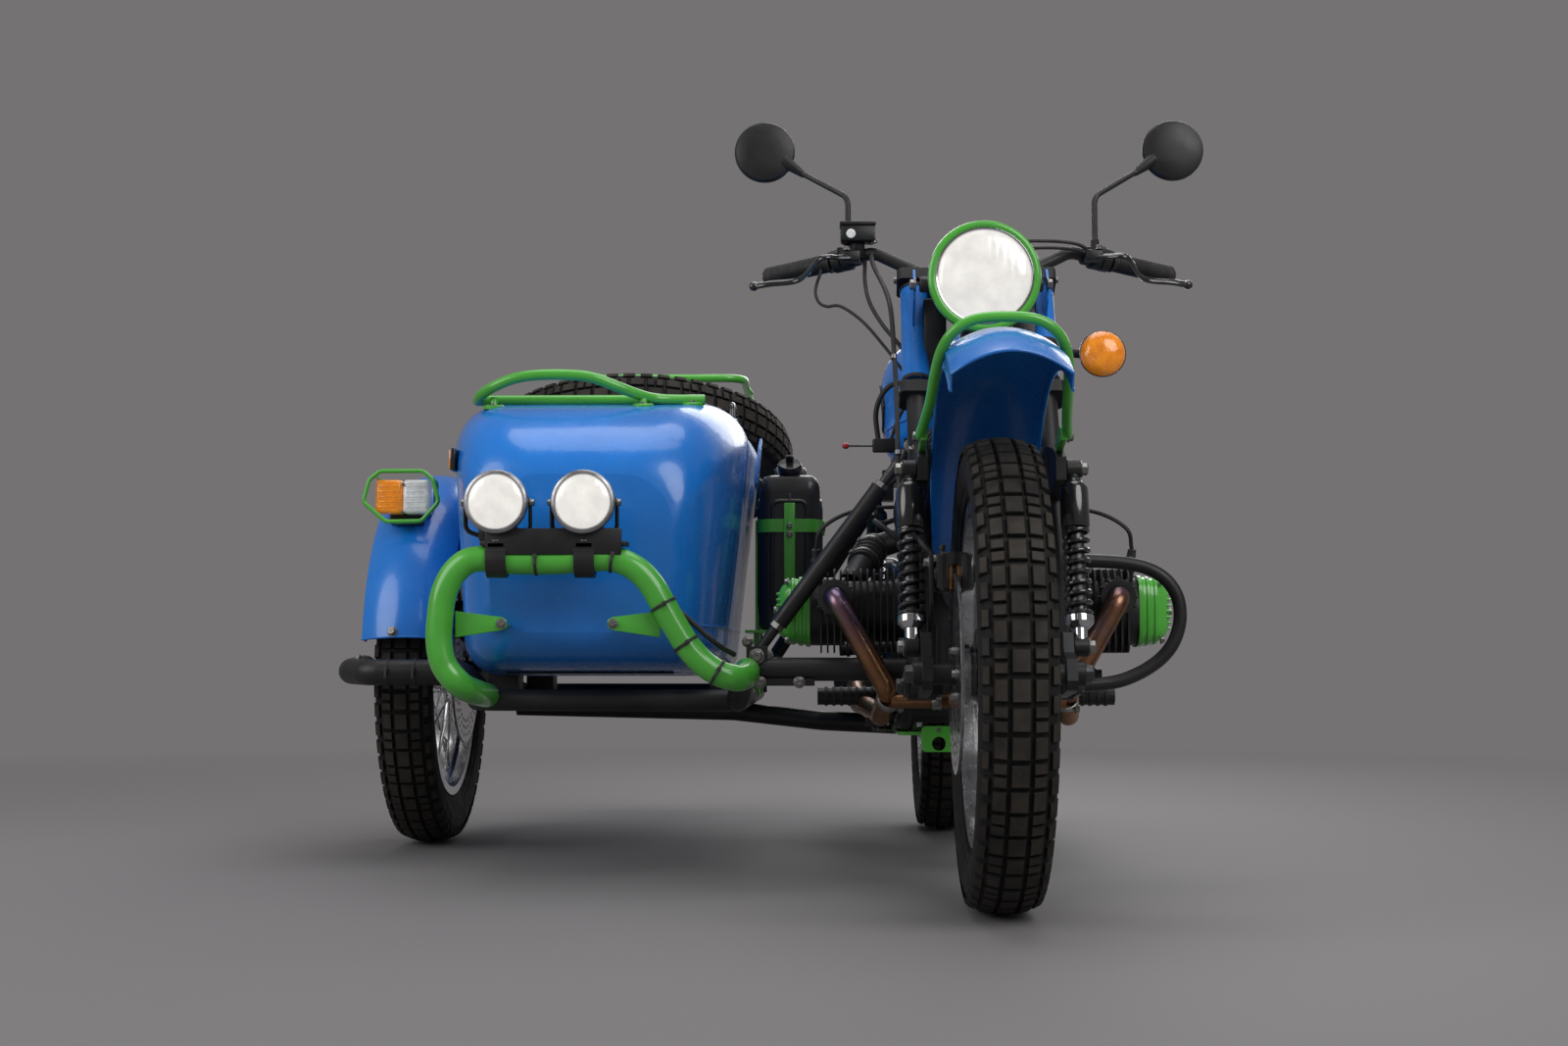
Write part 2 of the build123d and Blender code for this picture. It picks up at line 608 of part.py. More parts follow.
with BuildPart() as valve_covers:
    for side in SIDES:
        face_x = side * COVER_FROM
        plane = Plane(origin=at((face_x, CYLINDER_Y, CYLINDER_Z)), x_dir=(0, 1, 0), z_dir=(side, 0, 0))
        with BuildSketch(plane) as base:
            RectangleRounded(COVER_D, COVER_H, 30)
        with BuildSketch(plane.offset(COVER_T - 16)) as shoulder_face:
            RectangleRounded(COVER_D - 4, COVER_H - 4, 30)
        with BuildSketch(plane.offset(COVER_T)) as crest:
            RectangleRounded(COVER_D - 34, COVER_H - 34, 22)
        loft([base.sketch, shoulder_face.sketch], ruled=True)
        loft([shoulder_face.sketch, crest.sketch], ruled=True)
        with BuildSketch(plane.offset(COVER_T - 22)) as ribs:
            for step in range(5):
                with Locations(((step - 2) * 15, 0)):
                    RectangleRounded(5, COVER_H - 30, 2)
        extrude(ribs.sketch, amount=22 + 5)
write(valve_covers, "valve_covers")

with BuildPart() as intake:
    for side in SIDES:
        rod((side * 190, 612, 540), (side * 168, 690, 575), 54)
        rod((side * 168, 690, 575), (side * 80, 740, 606), 44)
        with Locations(at((side * 168, 690, 575))):
            Sphere(27)
    block((0, 760, 620), (180, 150, 120))
    cut(cylinders, engine_block, bike_frame)
write(intake, "intake")

with BuildPart() as exhaust_headers:
    for side in SIDES:
        tube([(side * PORT_X, PORT_FACE_Y, PORT_Z), (side * PORT_X, HEADER_Y, PORT_Z),
              (side * 150, HEADER_Y, 318), (side * 160, 480, 276), (side * 190, 760, 292),
              (side * SILENCER_X, SILENCER_Y, SILENCER_Z)], 36, 20)
    rod((-146, HEADER_Y, 302), (146, HEADER_Y, 302), 24)
    cut(cylinders, bike_frame)
write(exhaust_headers, "exhaust_headers")

with BuildPart() as silencers:
    for side in SIDES:
        turned((side * SILENCER_X, SILENCER_Y, SILENCER_Z), (0, 1, 0.02), (1, 0, 0),
               [(0, 0), (0, 19), (60, 42), (720, 42), (770, 26), (830, 22), (830, 16), (780, 16), (780, 0)])
        # hanger to the frame
        block((side * 145, 1042, 356), (62, 30, 8))
    cut(exhaust_headers, bike_frame)
write(silencers, "silencers")

# table of the tank's sections: y, half width, z low, z high, low edge, high edge
TANK = (
    (478, 86, 772, 912, 22, 52),
    (590, 146, 738, 946, 26, 78),
    (760, 152, 742, 944, 26, 80),
    (934, 112, 790, 872, 22, 36),
)
with BuildPart() as fuel_tank:
    faces = []
    for y, half, low, high, low_edge, high_edge in TANK:
        plane = Plane(origin=at((0, y, 0)), x_dir=(1, 0, 0), z_dir=(0, -1, 0))
        with BuildSketch(plane) as face:
            with BuildLine():
                Polyline((-half + 14, low), (half - 14, low), (half, high), (-half, high), close=True)
            make_face()
            fillet(face.vertices().group_by(Axis.Y)[0], low_edge)
            fillet(face.vertices().group_by(Axis.Y)[-1], high_edge)
        faces.append(face.sketch)
    loft(faces)
    # tunnel over the frame's backbone
    roof = BACKBONE_D / 2 + 6
    with BuildSketch(Plane.YZ) as tunnel:
        with BuildLine():
            Polyline(*[(FRONT_AXLE_Y + y, z) for y, z in (
                (400, 600), (400, backbone_z(400) + roof), (1000, backbone_z(1000) + roof), (1000, 600))],
                close=True)
        make_face()
    extrude(tunnel.sketch.moved(Location((BIKE_X, 0, 0))), amount=30, both=True, mode=Mode.SUBTRACT)
    rod((0, 600, 930), (0, 600, 958), 62)
    cut(bike_frame)
write(fuel_tank, "fuel_tank")

with BuildPart() as bike_seat:
    with BuildSketch(Plane.XY.offset(SEAT_RAIL_Z + SEAT_RAIL_D / 2)) as plan:
        with BuildLine():
            Polyline(*[(BIKE_X + x, FRONT_AXLE_Y + y) for x, y in (
                (-88, 942), (88, 942), (132, 1130), (124, 1570), (-124, 1570), (-132, 1130))], close=True)
        make_face()
        fillet(plan.vertices(), 24)
    extrude(plan.sketch, amount=78)
    fillet(bike_seat.edges().group_by(Axis.Z)[-1], 24)
    cut(bike_frame, fuel_tank)
write(bike_seat, "bike_seat")

PLATE_HOLE_X, PLATE_HOLE_Z, PLATE_HOLE_R = 70.0, 510.0, 3.0
with BuildPart() as tail_lamp:
    block((0, 1906, 590), (60, 40, 64))
    rod((0, 1924, 596), (0, 1942, 596), 74)
    block((0, 1914, 520), (24, 10, 110))
    block((0, 1921, 480), (180, 4, 120))
    for side in SIDES:
        bored((side * PLATE_HOLE_X, 1915, PLATE_HOLE_Z), (side * PLATE_HOLE_X, 1927, PLATE_HOLE_Z),
              2 * PLATE_HOLE_R)
        rod((side * 30, 1906, 590), (side * 96, 1912, 590), 12)
        rod((side * 96, 1892, 590), (side * 96, 1934, 590), 60)
    # foot on the fender
    block((0, 1870, 575), (40, 60, 30))
    cut(rear_fender)
keep(tail_lamp, 1)
write(tail_lamp, "tail_lamp")

with BuildPart() as crash_bar:
    tube([(84, 428, 542), (92, 380, 540), (236, 366, 536), (340, 366, 444), (282, 366, 352),
          (112, 366, 332), (112, 444, 332)], 22, 18)
    cut(bike_frame)
write(crash_bar, "crash_bar")

with BuildPart() as foot_controls:
    for side in SIDES:
        rod((side * 126, 700, 262), (side * 150, 700, 305), 18)
        rod((side * 150, 700, 305), (side * 270, 700, 305), 32)
        rod((side * 100, 1120, 400), (side * 226, 1128, 392), 26)
        rod((side * 100, 1060, 400), (side * 104, 1126, 400), 18)
    # shift pedal at the left, brake pedal at the right
    rod((88, 800, 346), (150, 800, 346), 18)
    tube([(143, 800, 346), (143, 650, 352), (143, 590, 346)], 12, 20)
    rod((140, 588, 346), (232, 588, 346), 20)
    tube([(-138, 760, 262), (-142, 640, 248), (-168, 590, 250), (-168, 560, 258)], 12, 20)
    block((-168, 556, 262), (34, 36, 14))
    rod((-126, 760, 262), (-146, 760, 262), 24)
    cut(bike_frame, engine_block, exhaust_headers)
write(foot_controls, "foot_controls")

TIE_HOLE_R = 12.0
with BuildPart() as skid_plate:
    with BuildSketch(Plane.XY.offset(RAIL_Z - FRAME_D / 2 - 6)) as plan:
        with BuildLine():
            Polyline(*[(BIKE_X + x, FRONT_AXLE_Y + y) for x, y in (
                (-132, 480), (132, 480), (132, 760), (-132, 760))], close=True)
        make_face()
        fillet(plan.vertices(), 14)
    extrude(plan.sketch, amount=6)
    with BuildSketch(Plane.XZ.offset(-(FRONT_AXLE_Y + 474))) as eye:
        with Locations((BIKE_X - 62, 236)):
            RectangleRounded(60, 44, 8)
        with Locations((BIKE_X - 62, 228)):
            Circle(TIE_HOLE_R, mode=Mode.SUBTRACT)
    extrude(eye.sketch, amount=6)
    block((-62, 479, 245), (60, 11, 6))
    cut(bike_frame)
write(skid_plate, "skid_plate")

with BuildPart() as rear_swingarm:
    rod((-120, PIVOT_Y, PIVOT_Z), (120, PIVOT_Y, PIVOT_Z), PIVOT_D)
    rod((-74, PIVOT_Y, PIVOT_Z), (74, PIVOT_Y, PIVOT_Z), 48)
    tube([(60, PIVOT_Y, PIVOT_Z), (74, PIVOT_Y + 60, PIVOT_Z), (108, PIVOT_Y + 160, PIVOT_Z + 4),
          (108, WHEELBASE + 14, TYRE_R)], 38, 40)
    tube([(-60, PIVOT_Y, PIVOT_Z), (-70, PIVOT_Y + 60, PIVOT_Z), (-106, PIVOT_Y + 160, PIVOT_Z + 4),
          (-106, WHEELBASE - 40, TYRE_R)], 46, 40)
    turned((-62, WHEELBASE, TYRE_R), (-1, 0, 0), (0, 0, 1),
           [(0, 0), (0, 60), (6, 92), (46, 98), (58, 80), (66, 40), (66, 0)])
    rod((-126, WHEELBASE, TYRE_R), (136, WHEELBASE, TYRE_R), AXLE_D)
    rod((HUB_HALF + DISC_X - 44, WHEELBASE, TYRE_R), (92, WHEELBASE, TYRE_R), 34)
    for side in SIDES:
        plate_across(side * (SHOCK_MOUNT_X - 12) - 12, 24,
                     [(REAR_SHOCK_FOOT[0] - 22, 340), (REAR_SHOCK_FOOT[0] - 18, REAR_SHOCK_FOOT[1] + 18),
                      (REAR_SHOCK_FOOT[0] + 18, REAR_SHOCK_FOOT[1] + 18), (REAR_SHOCK_FOOT[0] + 30, 340)])
    cut(bike_frame)
write(rear_swingarm, "rear_swingarm")

# --- sidecar -----------------------------------------------------------------
RIGHT_RAIL_X = -410.0  # sidecar's own rails, bike side and outer side
LEFT_RAIL_X = -880.0
RAIL_FRONT_Y, RAIL_BACK_Y = 560.0, 1500.0
LINK_OUT_X = -372.0  # where the upper strut meets the link tube
CROSS_Y = 1100.0
CROSS_Z = 268.0
BODY_FLOOR_Z = 340.0
DECK_Y0, DECK_Y1 = 1300.0, 1900.0  # the sloping rear deck
DECK_Z0, DECK_Z1 = 850.0, 640.0
DECK_EDGE = 74.0

# table of the nose and cockpit sections: y, half low, half high, z low, z high, low edge, high edge
NOSE = (
    (452, 150, 164, 418, 690, 60, 90),
    (478, 182, 200, 384, 744, 62, 92),
    (560, 212, 236, 356, 802, 60, 92),
    (700, 228, 268, 344, 842, 56, 88),
    (900, 232, 281, BODY_FLOOR_Z, 858, 50, 80),
    (1100, 232, 283, BODY_FLOOR_Z, 856, 50, 76),
    (DECK_Y0, 232, 282, BODY_FLOOR_Z, DECK_Z0, 50, DECK_EDGE),
)
# the same columns for the tail
TAIL = (
    (DECK_Y0, 232, 282, BODY_FLOOR_Z, DECK_Z0, 50, DECK_EDGE),
    (DECK_Y1, 200, 236, 380, DECK_Z1, 50, DECK_EDGE),
    (1980, 176, 200, 420, 588, 50, 60),
    (2020, 140, 156, 456, 540, 34, 40),
)


def body_faces(table, inset):
    """The body's cross sections, drawn in by a wall, as sketches square to Y."""
    faces = []
    for y, half_low, half_high, low, high, low_edge, high_edge in table:
        plane = Plane(origin=at((SIDECAR_X, y, 0)), x_dir=(1, 0, 0), z_dir=(0, -1, 0))
        with BuildSketch(plane) as face:
            with BuildLine():
                Polyline((inset - half_low, low + inset), (half_low - inset, low + inset),
                         (half_high - inset, high - inset), (inset - half_high, high - inset), close=True)
            make_face()
            fillet(face.vertices().group_by(Axis.Y)[0], low_edge - inset)
            fillet(face.vertices().group_by(Axis.Y)[-1], high_edge - inset)
        faces.append(face.sketch)
    return faces


def deck_z(y):
    return DECK_Z0 + (DECK_Z1 - DECK_Z0) * (y - DECK_Y0) / (DECK_Y1 - DECK_Y0)


def plan_cut(outline, corner, low, high):
    """An upright cutter through a plan outline of (x, y) points, with rounded corners."""
    with BuildSketch(Plane.XY.offset(low)) as plan:
        with BuildLine():
            Polyline(*[(BIKE_X + x, FRONT_AXLE_Y + y) for x, y in outline], close=True)
        make_face()
        fillet(plan.vertices(), corner)
    extrude(plan.sketch, amount=high - low, mode=Mode.SUBTRACT)


COCKPIT = [(SIDECAR_X - 150, 800), (SIDECAR_X + 150, 800), (SIDECAR_X + 205, 960),
           (SIDECAR_X + 205, 1262), (SIDECAR_X - 205, 1262), (SIDECAR_X - 205, 960)]
TRUNK_HALF = 180.0
TRUNK_FROM, TRUNK_TO = 1350.0, 1860.0
TRUNK = [(SIDECAR_X - TRUNK_HALF, TRUNK_FROM), (SIDECAR_X + TRUNK_HALF, TRUNK_FROM),
         (SIDECAR_X + TRUNK_HALF - 30, TRUNK_TO), (SIDECAR_X - TRUNK_HALF + 30, TRUNK_TO)]

BULKHEAD_Y = 1296.0
SEAT_BOX_Y = 1070.0
SEAT_BOX_Z = 440.0
SEAT_BOX_W = 340.0
SEAT_BOX_D = 300.0
with BuildPart() as body_hollow:
    shell_nose = [(row[0] + (BODY_WALL if row is NOSE[0] else 0), *row[1:]) for row in NOSE]
    shell_tail = [(row[0] - (BODY_WALL if row is TAIL[-1] else 0), *row[1:]) for row in TAIL]
    loft(body_faces(shell_nose, BODY_WALL))
    loft(body_faces(shell_tail, BODY_WALL), ruled=True)

with BuildPart() as sidecar_body:
    loft(body_faces(NOSE, 0))
    loft(body_faces(TAIL, 0), ruled=True)
    add(body_hollow.part, mode=Mode.SUBTRACT)
    # bulkhead between the seat and the trunk
    with BuildPart(mode=Mode.PRIVATE) as bulkhead:
        block((SIDECAR_X, BULKHEAD_Y, 600), (600, BODY_WALL, 540))
        add(body_hollow.part, mode=Mode.INTERSECT)
    add(bulkhead.part)
    # open-backed box that the seat's cushion stands on
    box_high = SEAT_BOX_Z - BODY_FLOOR_Z
    block((SIDECAR_X, SEAT_BOX_Y, SEAT_BOX_Z - BODY_WALL / 2), (SEAT_BOX_W, SEAT_BOX_D, BODY_WALL))
    block((SIDECAR_X, SEAT_BOX_Y - SEAT_BOX_D / 2, SEAT_BOX_Z - box_high / 2),
          (SEAT_BOX_W, BODY_WALL, box_high))
    for side in SIDES:
        block((SIDECAR_X + side * (SEAT_BOX_W - BODY_WALL) / 2, SEAT_BOX_Y, SEAT_BOX_Z - box_high / 2),
              (BODY_WALL, SEAT_BOX_D, box_high))
    plan_cut(COCKPIT, 70, 700, 1000)
    plan_cut(TRUNK, 40, 560, 1000)
write(sidecar_body, "sidecar_body")

LID_T = 3.0
LID_LAP = 14.0
HINGE_Y = 1306.0
HINGE_Z = 868.0
HINGE_PIN_D = 8.0
deck_tilt = Vector(0, DECK_Y1 - DECK_Y0, DECK_Z1 - DECK_Z0).normalized()
deck_up = Vector(0, -deck_tilt.Z, deck_tilt.Y)


def on_deck(x, y, lift):
    """A place above the rear deck: y along the floor, lift square to the deck."""
    foot = Vector(SIDECAR_X + x, y, deck_z(y)) + deck_up * lift
    return (foot.X, foot.Y, foot.Z)


SPARE_LIFT = 84.0  # middle of the spare over the deck
SPARE_Y = 1586.0
deck_plane = Plane(origin=at(on_deck(0, SPARE_Y, LID_T + SEAT_GAP)), x_dir=(1, 0, 0), z_dir=deck_up)
LID_FRONT = (TRUNK_FROM - LID_LAP - SPARE_Y) / deck_tilt.Y
LID_BACK = (TRUNK_TO + LID_LAP - SPARE_Y) / deck_tilt.Y

with BuildPart() as trunk_lid:
    with BuildSketch(deck_plane.offset(-LID_T)) as plan:
        with BuildLine():
            half, back_half = TRUNK_HALF + LID_LAP, TRUNK_HALF + LID_LAP - 30
            Polyline((-half, LID_FRONT), (half, LID_FRONT), (back_half, LID_BACK), (-back_half, LID_BACK),
                     close=True)
        make_face()
        fillet(plan.vertices(), 44)
    extrude(plan.sketch, amount=LID_T)
    # hinge straps and knuckles
    for x in (-110, 110):
        with BuildSketch(Plane.YZ.offset(BIKE_X + SIDECAR_X + x - 15)) as strap:
            with BuildLine():
                ends = [on_deck(0, TRUNK_FROM + 50, LID_T + SEAT_GAP), on_deck(0, TRUNK_FROM + 50, LID_T + 5),
                        (0, HINGE_Y + 6, HINGE_Z + 6), (0, HINGE_Y, HINGE_Z),
                        on_deck(0, TRUNK_FROM - 12, LID_T + SEAT_GAP)]
                Polyline(*[(FRONT_AXLE_Y + p[1], p[2]) for p in ends], close=True)
            make_face()
        extrude(strap.sketch, amount=30)
        rod((SIDECAR_X + x - 15, HINGE_Y, HINGE_Z), (SIDECAR_X + x + 15, HINGE_Y, HINGE_Z), 14)
        bored((SIDECAR_X + x - 16, HINGE_Y, HINGE_Z), (SIDECAR_X + x + 16, HINGE_Y, HINGE_Z),
              HINGE_PIN_D + 2 * RUN_GAP)
    # handle at the tail
    rod(on_deck(-40, TRUNK_TO - 14, LID_T + SEAT_GAP - 1), on_deck(-40, TRUNK_TO - 14, 22), 9)
    rod(on_deck(40, TRUNK_TO - 14, LID_T + SEAT_GAP - 1), on_deck(40, TRUNK_TO - 14, 22), 9)
    rod(on_deck(-44, TRUNK_TO - 14, 22), on_deck(44, TRUNK_TO - 14, 22), 10)
    # foot that the spare's carrier stands on
    rod(on_deck(0, SPARE_Y, LID_T + SEAT_GAP - 1), on_deck(0, SPARE_Y, SPARE_LIFT - HUB_HALF - SEAT_GAP), 110)
write(trunk_lid, "trunk_lid")

spare_tilt = Location(Plane(origin=at(on_deck(0, SPARE_Y, SPARE_LIFT)), x_dir=deck_up, z_dir=(1, 0, 0)))
with BuildPart() as spare_wheel:
    with Locations(spare_tilt):
        add(wheel_form.part)
write(spare_wheel, "spare_wheel")
with BuildPart() as spare_tyre:
    with Locations(spare_tilt):
        add(tyre_form.part)
write(spare_tyre, "spare_tyre")

RACK_Z = 996.0
RACK_Y0, RACK_Y1 = 1450.0, 1850.0
RACK_X0, RACK_X1 = -835.0, -435.0
RACK_PLATE_Y = 1650.0
RACK_HOLE_PITCH = 120.0
RACK_HOLE_R = 3.3
with BuildPart() as spare_rack:
    rod(on_deck(0, SPARE_Y, SPARE_LIFT - HUB_HALF), on_deck(0, SPARE_Y, SPARE_LIFT + HUB_HALF + 16), 20)
    rod(on_deck(0, SPARE_Y, SPARE_LIFT + HUB_HALF + SEAT_GAP),
        on_deck(0, SPARE_Y, SPARE_LIFT + HUB_HALF + 12), 90)
    tube([(RACK_X0, RACK_Y0, RACK_Z), (RACK_X1, RACK_Y0, RACK_Z), (RACK_X1, RACK_Y1, RACK_Z),
          (RACK_X0, RACK_Y1, RACK_Z)], 18, 46, closed=True)
    for x in (-755, -677, -599, -515):
        rod((x, RACK_Y0, RACK_Z), (x, RACK_Y1, RACK_Z), 12)
    block((SIDECAR_X, RACK_PLATE_Y, RACK_Z), (RACK_HOLE_PITCH + 60, RACK_HOLE_PITCH + 40, 5))
    for dx, dy in ((-34, 1600), (34, 1600), (-34, 1672), (34, 1672)):
        rod((SIDECAR_X + dx, dy, RACK_Z),
            on_deck(dx, SPARE_Y + (dy - 1636) * 0.9, SPARE_LIFT + HUB_HALF + 4), 12)
    # holes of the plate, for a load's own bracket
    for dx in SIDES:
        for dy in SIDES:
            x, y = SIDECAR_X + dx * RACK_HOLE_PITCH / 2, RACK_PLATE_Y + dy * RACK_HOLE_PITCH / 2
            bored((x, y, RACK_Z - 4), (x, y, RACK_Z + 4), 2 * RACK_HOLE_R)
    cut(trunk_lid)
write(spare_rack, "spare_rack")

with BuildPart() as hinge_brackets:
    for x in (-110, 110):
        for side in SIDES:
            inner = SIDECAR_X + x + side * (15 + RUN_GAP)
            plate_across(min(inner, inner + side * 5), 5,
                         [(HINGE_Y - 18, 849.3), (HINGE_Y - 6, HINGE_Z + 3), (HINGE_Y, HINGE_Z + 5),
                          (HINGE_Y + 6, HINGE_Z + 3), (HINGE_Y + 12, deck_z(HINGE_Y + 12) - 1)])
        rod((SIDECAR_X + x - 22, HINGE_Y, HINGE_Z), (SIDECAR_X + x + 22, HINGE_Y, HINGE_Z), HINGE_PIN_D)
    cut(sidecar_body)
keep(hinge_brackets, 2)
write(hinge_brackets, "hinge_brackets")

with BuildPart() as sidecar_seat:
    # cushion and backrest, as two solids
    with BuildSketch(Plane.XY.offset(SEAT_BOX_Z + SEAT_GAP)) as plan:
        with Locations((BIKE_X + SIDECAR_X, FRONT_AXLE_Y + SEAT_BOX_Y)):
            RectangleRounded(400, 360, 50)
    extrude(plan.sketch, amount=90)
    back_y = BULKHEAD_Y - BODY_WALL / 2 - SEAT_GAP
    back_plane = Plane(origin=at((SIDECAR_X, back_y, 540)), x_dir=(1, 0, 0), z_dir=(0, -1, 0))
    with BuildSketch(back_plane) as back:
        with Locations((0, 140)):
            RectangleRounded(400, 270, 60)
    extrude(back.sketch, amount=70)
write(sidecar_seat, "sidecar_seat")

ARM_X = -960.0
SIDE_PIVOT_Y = 900.0
WHEEL_BUMPER_D = 48.0
SIDE_SHOCK_X = -982.0
SIDE_SHOCK_FOOT = (1345.0, 352.0)
SIDE_SHOCK_TOP = (1370.0, 584.0)
with BuildPart() as sidecar_frame:
    tube([(-RAIL_X, LINK_TUBE_Y, LINK_TUBE_Z), (-392, LINK_TUBE_Y, LINK_TUBE_Z),
          (RIGHT_RAIL_X, RAIL_FRONT_Y, SIDE_RAIL_Z), (RIGHT_RAIL_X, RAIL_BACK_Y + 26, SIDE_RAIL_Z)],
         LINK_TUBE_D, 46)
    tube([(RIGHT_RAIL_X, RAIL_FRONT_Y + 10, SIDE_RAIL_Z), (LEFT_RAIL_X, RAIL_FRONT_Y + 10, SIDE_RAIL_Z),
          (LEFT_RAIL_X, RAIL_BACK_Y, SIDE_RAIL_Z), (RIGHT_RAIL_X, RAIL_BACK_Y, SIDE_RAIL_Z)], SIDE_RAIL_D, 60)
    # rear link under the silencer to the motorcycle's lower rail
    tube([(LEFT_RAIL_X, CROSS_Y, CROSS_Z + 10), (RIGHT_RAIL_X - 30, CROSS_Y, CROSS_Z),
          (-260, 1040, 250), (-RAIL_X, 960, 246)], SIDE_RAIL_D, 60)
    # body mounts under the floor
    for x in (RIGHT_RAIL_X - 18, LEFT_RAIL_X + 18):
        for y in (760, 1240):
            block((x - 12 * (1 if x > SIDECAR_X else -1), y, (SIDE_RAIL_Z + BODY_FLOOR_Z) / 2 + 8),
                  (56, 60, BODY_FLOOR_Z - SIDE_RAIL_Z + 24))
    # outer bumper round the wheel's front
    tube([(LEFT_RAIL_X, 720, SIDE_RAIL_Z), (-930, 714, 348), (-1096, 714, 348), (-1144, 772, 350),
          (-1144, 890, 356)], WHEEL_BUMPER_D, 34)
    # pivot of the wheel's arm, and the shock's upright
    rod((LEFT_RAIL_X, SIDE_PIVOT_Y, SIDE_RAIL_Z + 12), (ARM_X + 24, SIDE_PIVOT_Y, SIDE_RAIL_Z + 12), 30)
    tube([(LEFT_RAIL_X, SIDE_SHOCK_TOP[0], SIDE_RAIL_Z), (-951, SIDE_SHOCK_TOP[0], 330),
          (-951, SIDE_SHOCK_TOP[0], SIDE_SHOCK_TOP[1] + 12)], 22, 16)
    # clevis plates and bolts on the link tube
    block((-334, LINK_TUBE_Y, LINK_TUBE_Z - 22), (120, 34, 12))
    cut(sidecar_body, bike_frame)
keep(sidecar_frame, 1)
write(sidecar_frame, "sidecar_frame")

with BuildPart() as sidecar_swingarm:
    pivot_z = SIDE_RAIL_Z + 12
    plate_across(ARM_X, 24, [(SIDE_PIVOT_Y - 26, pivot_z - 18), (SIDE_PIVOT_Y - 26, pivot_z + 18),
                             (SIDECAR_WHEEL_Y - 20, 376), (SIDECAR_WHEEL_Y + 30, 376),
                             (SIDE_SHOCK_FOOT[0] - 20, 374), (SIDE_SHOCK_FOOT[0] + 20, 372),
                             (SIDE_SHOCK_FOOT[0] + 20, 332), (SIDECAR_WHEEL_Y, 324)])
    rod((ARM_X + 20, SIDECAR_WHEEL_Y, TYRE_R),
        (SIDECAR_WHEEL_X - HUB_HALF - 16, SIDECAR_WHEEL_Y, TYRE_R), AXLE_D)
    rod((ARM_X + 2, SIDECAR_WHEEL_Y, TYRE_R), (SIDECAR_WHEEL_X + HUB_HALF + 0.6, SIDECAR_WHEEL_Y, TYRE_R), 38)
    cut(sidecar_frame)
write(sidecar_swingarm, "sidecar_swingarm")

with BuildPart() as rear_shocks:
    for side in SIDES:
        shock(side * REAR_SHOCK_X, REAR_SHOCK_FOOT, REAR_SHOCK_TOP, side * SHOCK_MOUNT_X, 46, 0.62, 10)
    shock(SIDE_SHOCK_X, SIDE_SHOCK_FOOT, SIDE_SHOCK_TOP, ARM_X, 38, 0.62, 9)
    cut(sidecar_frame, sidecar_swingarm)
write(rear_shocks, "rear_shocks")

with BuildPart() as sidecar_fender:
    fender((SIDE_FENDER_X, SIDECAR_WHEEL_Y, SIDE_FENDER_Z), SIDE_FENDER_R, SIDE_FENDER_HALF,
           FENDER_T, 30, 8, 172)
    # stays to the body
    for y in (1060, 1260):
        rod((SIDE_FENDER_X + SIDE_FENDER_HALF - 12, y, 690), (SIDECAR_X - 230, y, 690), 22)
    cut(sidecar_body, body_hollow)
write(sidecar_fender, "sidecar_fender")

MARKER = (-1078.0, 885.0, 687.0)
NOSE_LAMP_XS = (-799.0, -655.0)
NOSE_LAMP_Z = 631.0
BUMPER_Y = 340.0
BUMPER_D = 45.0
with BuildPart() as nose_bumper:
    tube([(-851, RAIL_FRONT_Y - 9, SIDE_RAIL_Z + 4), (-851, BUMPER_Y, 331), (-888, BUMPER_Y, 425),
          (-850, BUMPER_Y, 535), (-620, BUMPER_Y, 535), (-519, BUMPER_Y, 457), (-392, BUMPER_Y, 336),
          (-388, LINK_TUBE_Y - 16, 354)], BUMPER_D, 30)
    # braces to the body's nose
    for x, width in ((-833, 82), (-587, 66)):
        block((x, 408, 432), (width, 120, 6))
        block((x, BUMPER_Y + 12, 470), (width, 6, 84))
    cut(sidecar_frame, sidecar_body, body_hollow)
write(nose_bumper, "nose_bumper")

with BuildPart() as sidecar_lamps:
    for x in NOSE_LAMP_XS:
        turned((x, BUMPER_Y - 38, NOSE_LAMP_Z), (0, 1, 0), (0, 0, 1),
               [(0, 0), (0, 50), (3, 53), (16, 53), (22, 50), (62, 44), (78, 24), (80, 0)])
        rod((x, BUMPER_Y, NOSE_LAMP_Z - 40), (x, BUMPER_Y, 562), 18)
    block((-705, BUMPER_Y + 2, 563), (244, 44, 8))
    for x in (-800, -654):
        block((x, BUMPER_Y - 2, 538), (34, 56, 56))
    # marker lamp on the fender
    turned(MARKER, (0, -0.9, 0.1), (1, 0, 0),
           [(-34, 0), (-34, 20), (-10, 34), (6, 36), (22, 30), (36, 16), (40, 0)])
    rod((MARKER[0], MARKER[1] + 20, MARKER[2] - 4), (MARKER[0], MARKER[1] + 48, MARKER[2] - 12), 36)
    cut(nose_bumper, sidecar_fender)
keep(sidecar_lamps, 2)
write(sidecar_lamps, "sidecar_lamps")

GUARD_D = 7.0
with BuildPart() as lamp_guard:
    x, y, z = MARKER
    tube([(x - 60, y + 50, z - 44), (x - 76, y - 40, z - 46), (x - 76, y - 46, z + 46),
          (x - 60, y + 44, z + 48), (x + 60, y + 44, z + 48), (x + 66, y - 46, z + 46),
          (x + 66, y - 40, z - 46), (x + 60, y + 50, z - 44)],
         GUARD_D, 12)
    tube([(x - 76, y - 43, z), (x - 40, y - 56, z), (x + 34, y - 56, z), (x + 66, y - 43, z)], GUARD_D, 12)
    tube([(x - 5, y + 46, z + 48), (x - 5, y - 57, z + 50), (x - 5, y - 57, z - 46), (x - 5, y + 2, z - 60)],
         GUARD_D, 12)
    cut(sidecar_fender, sidecar_lamps)
keep(lamp_guard, 1)
write(lamp_guard, "lamp_guard")

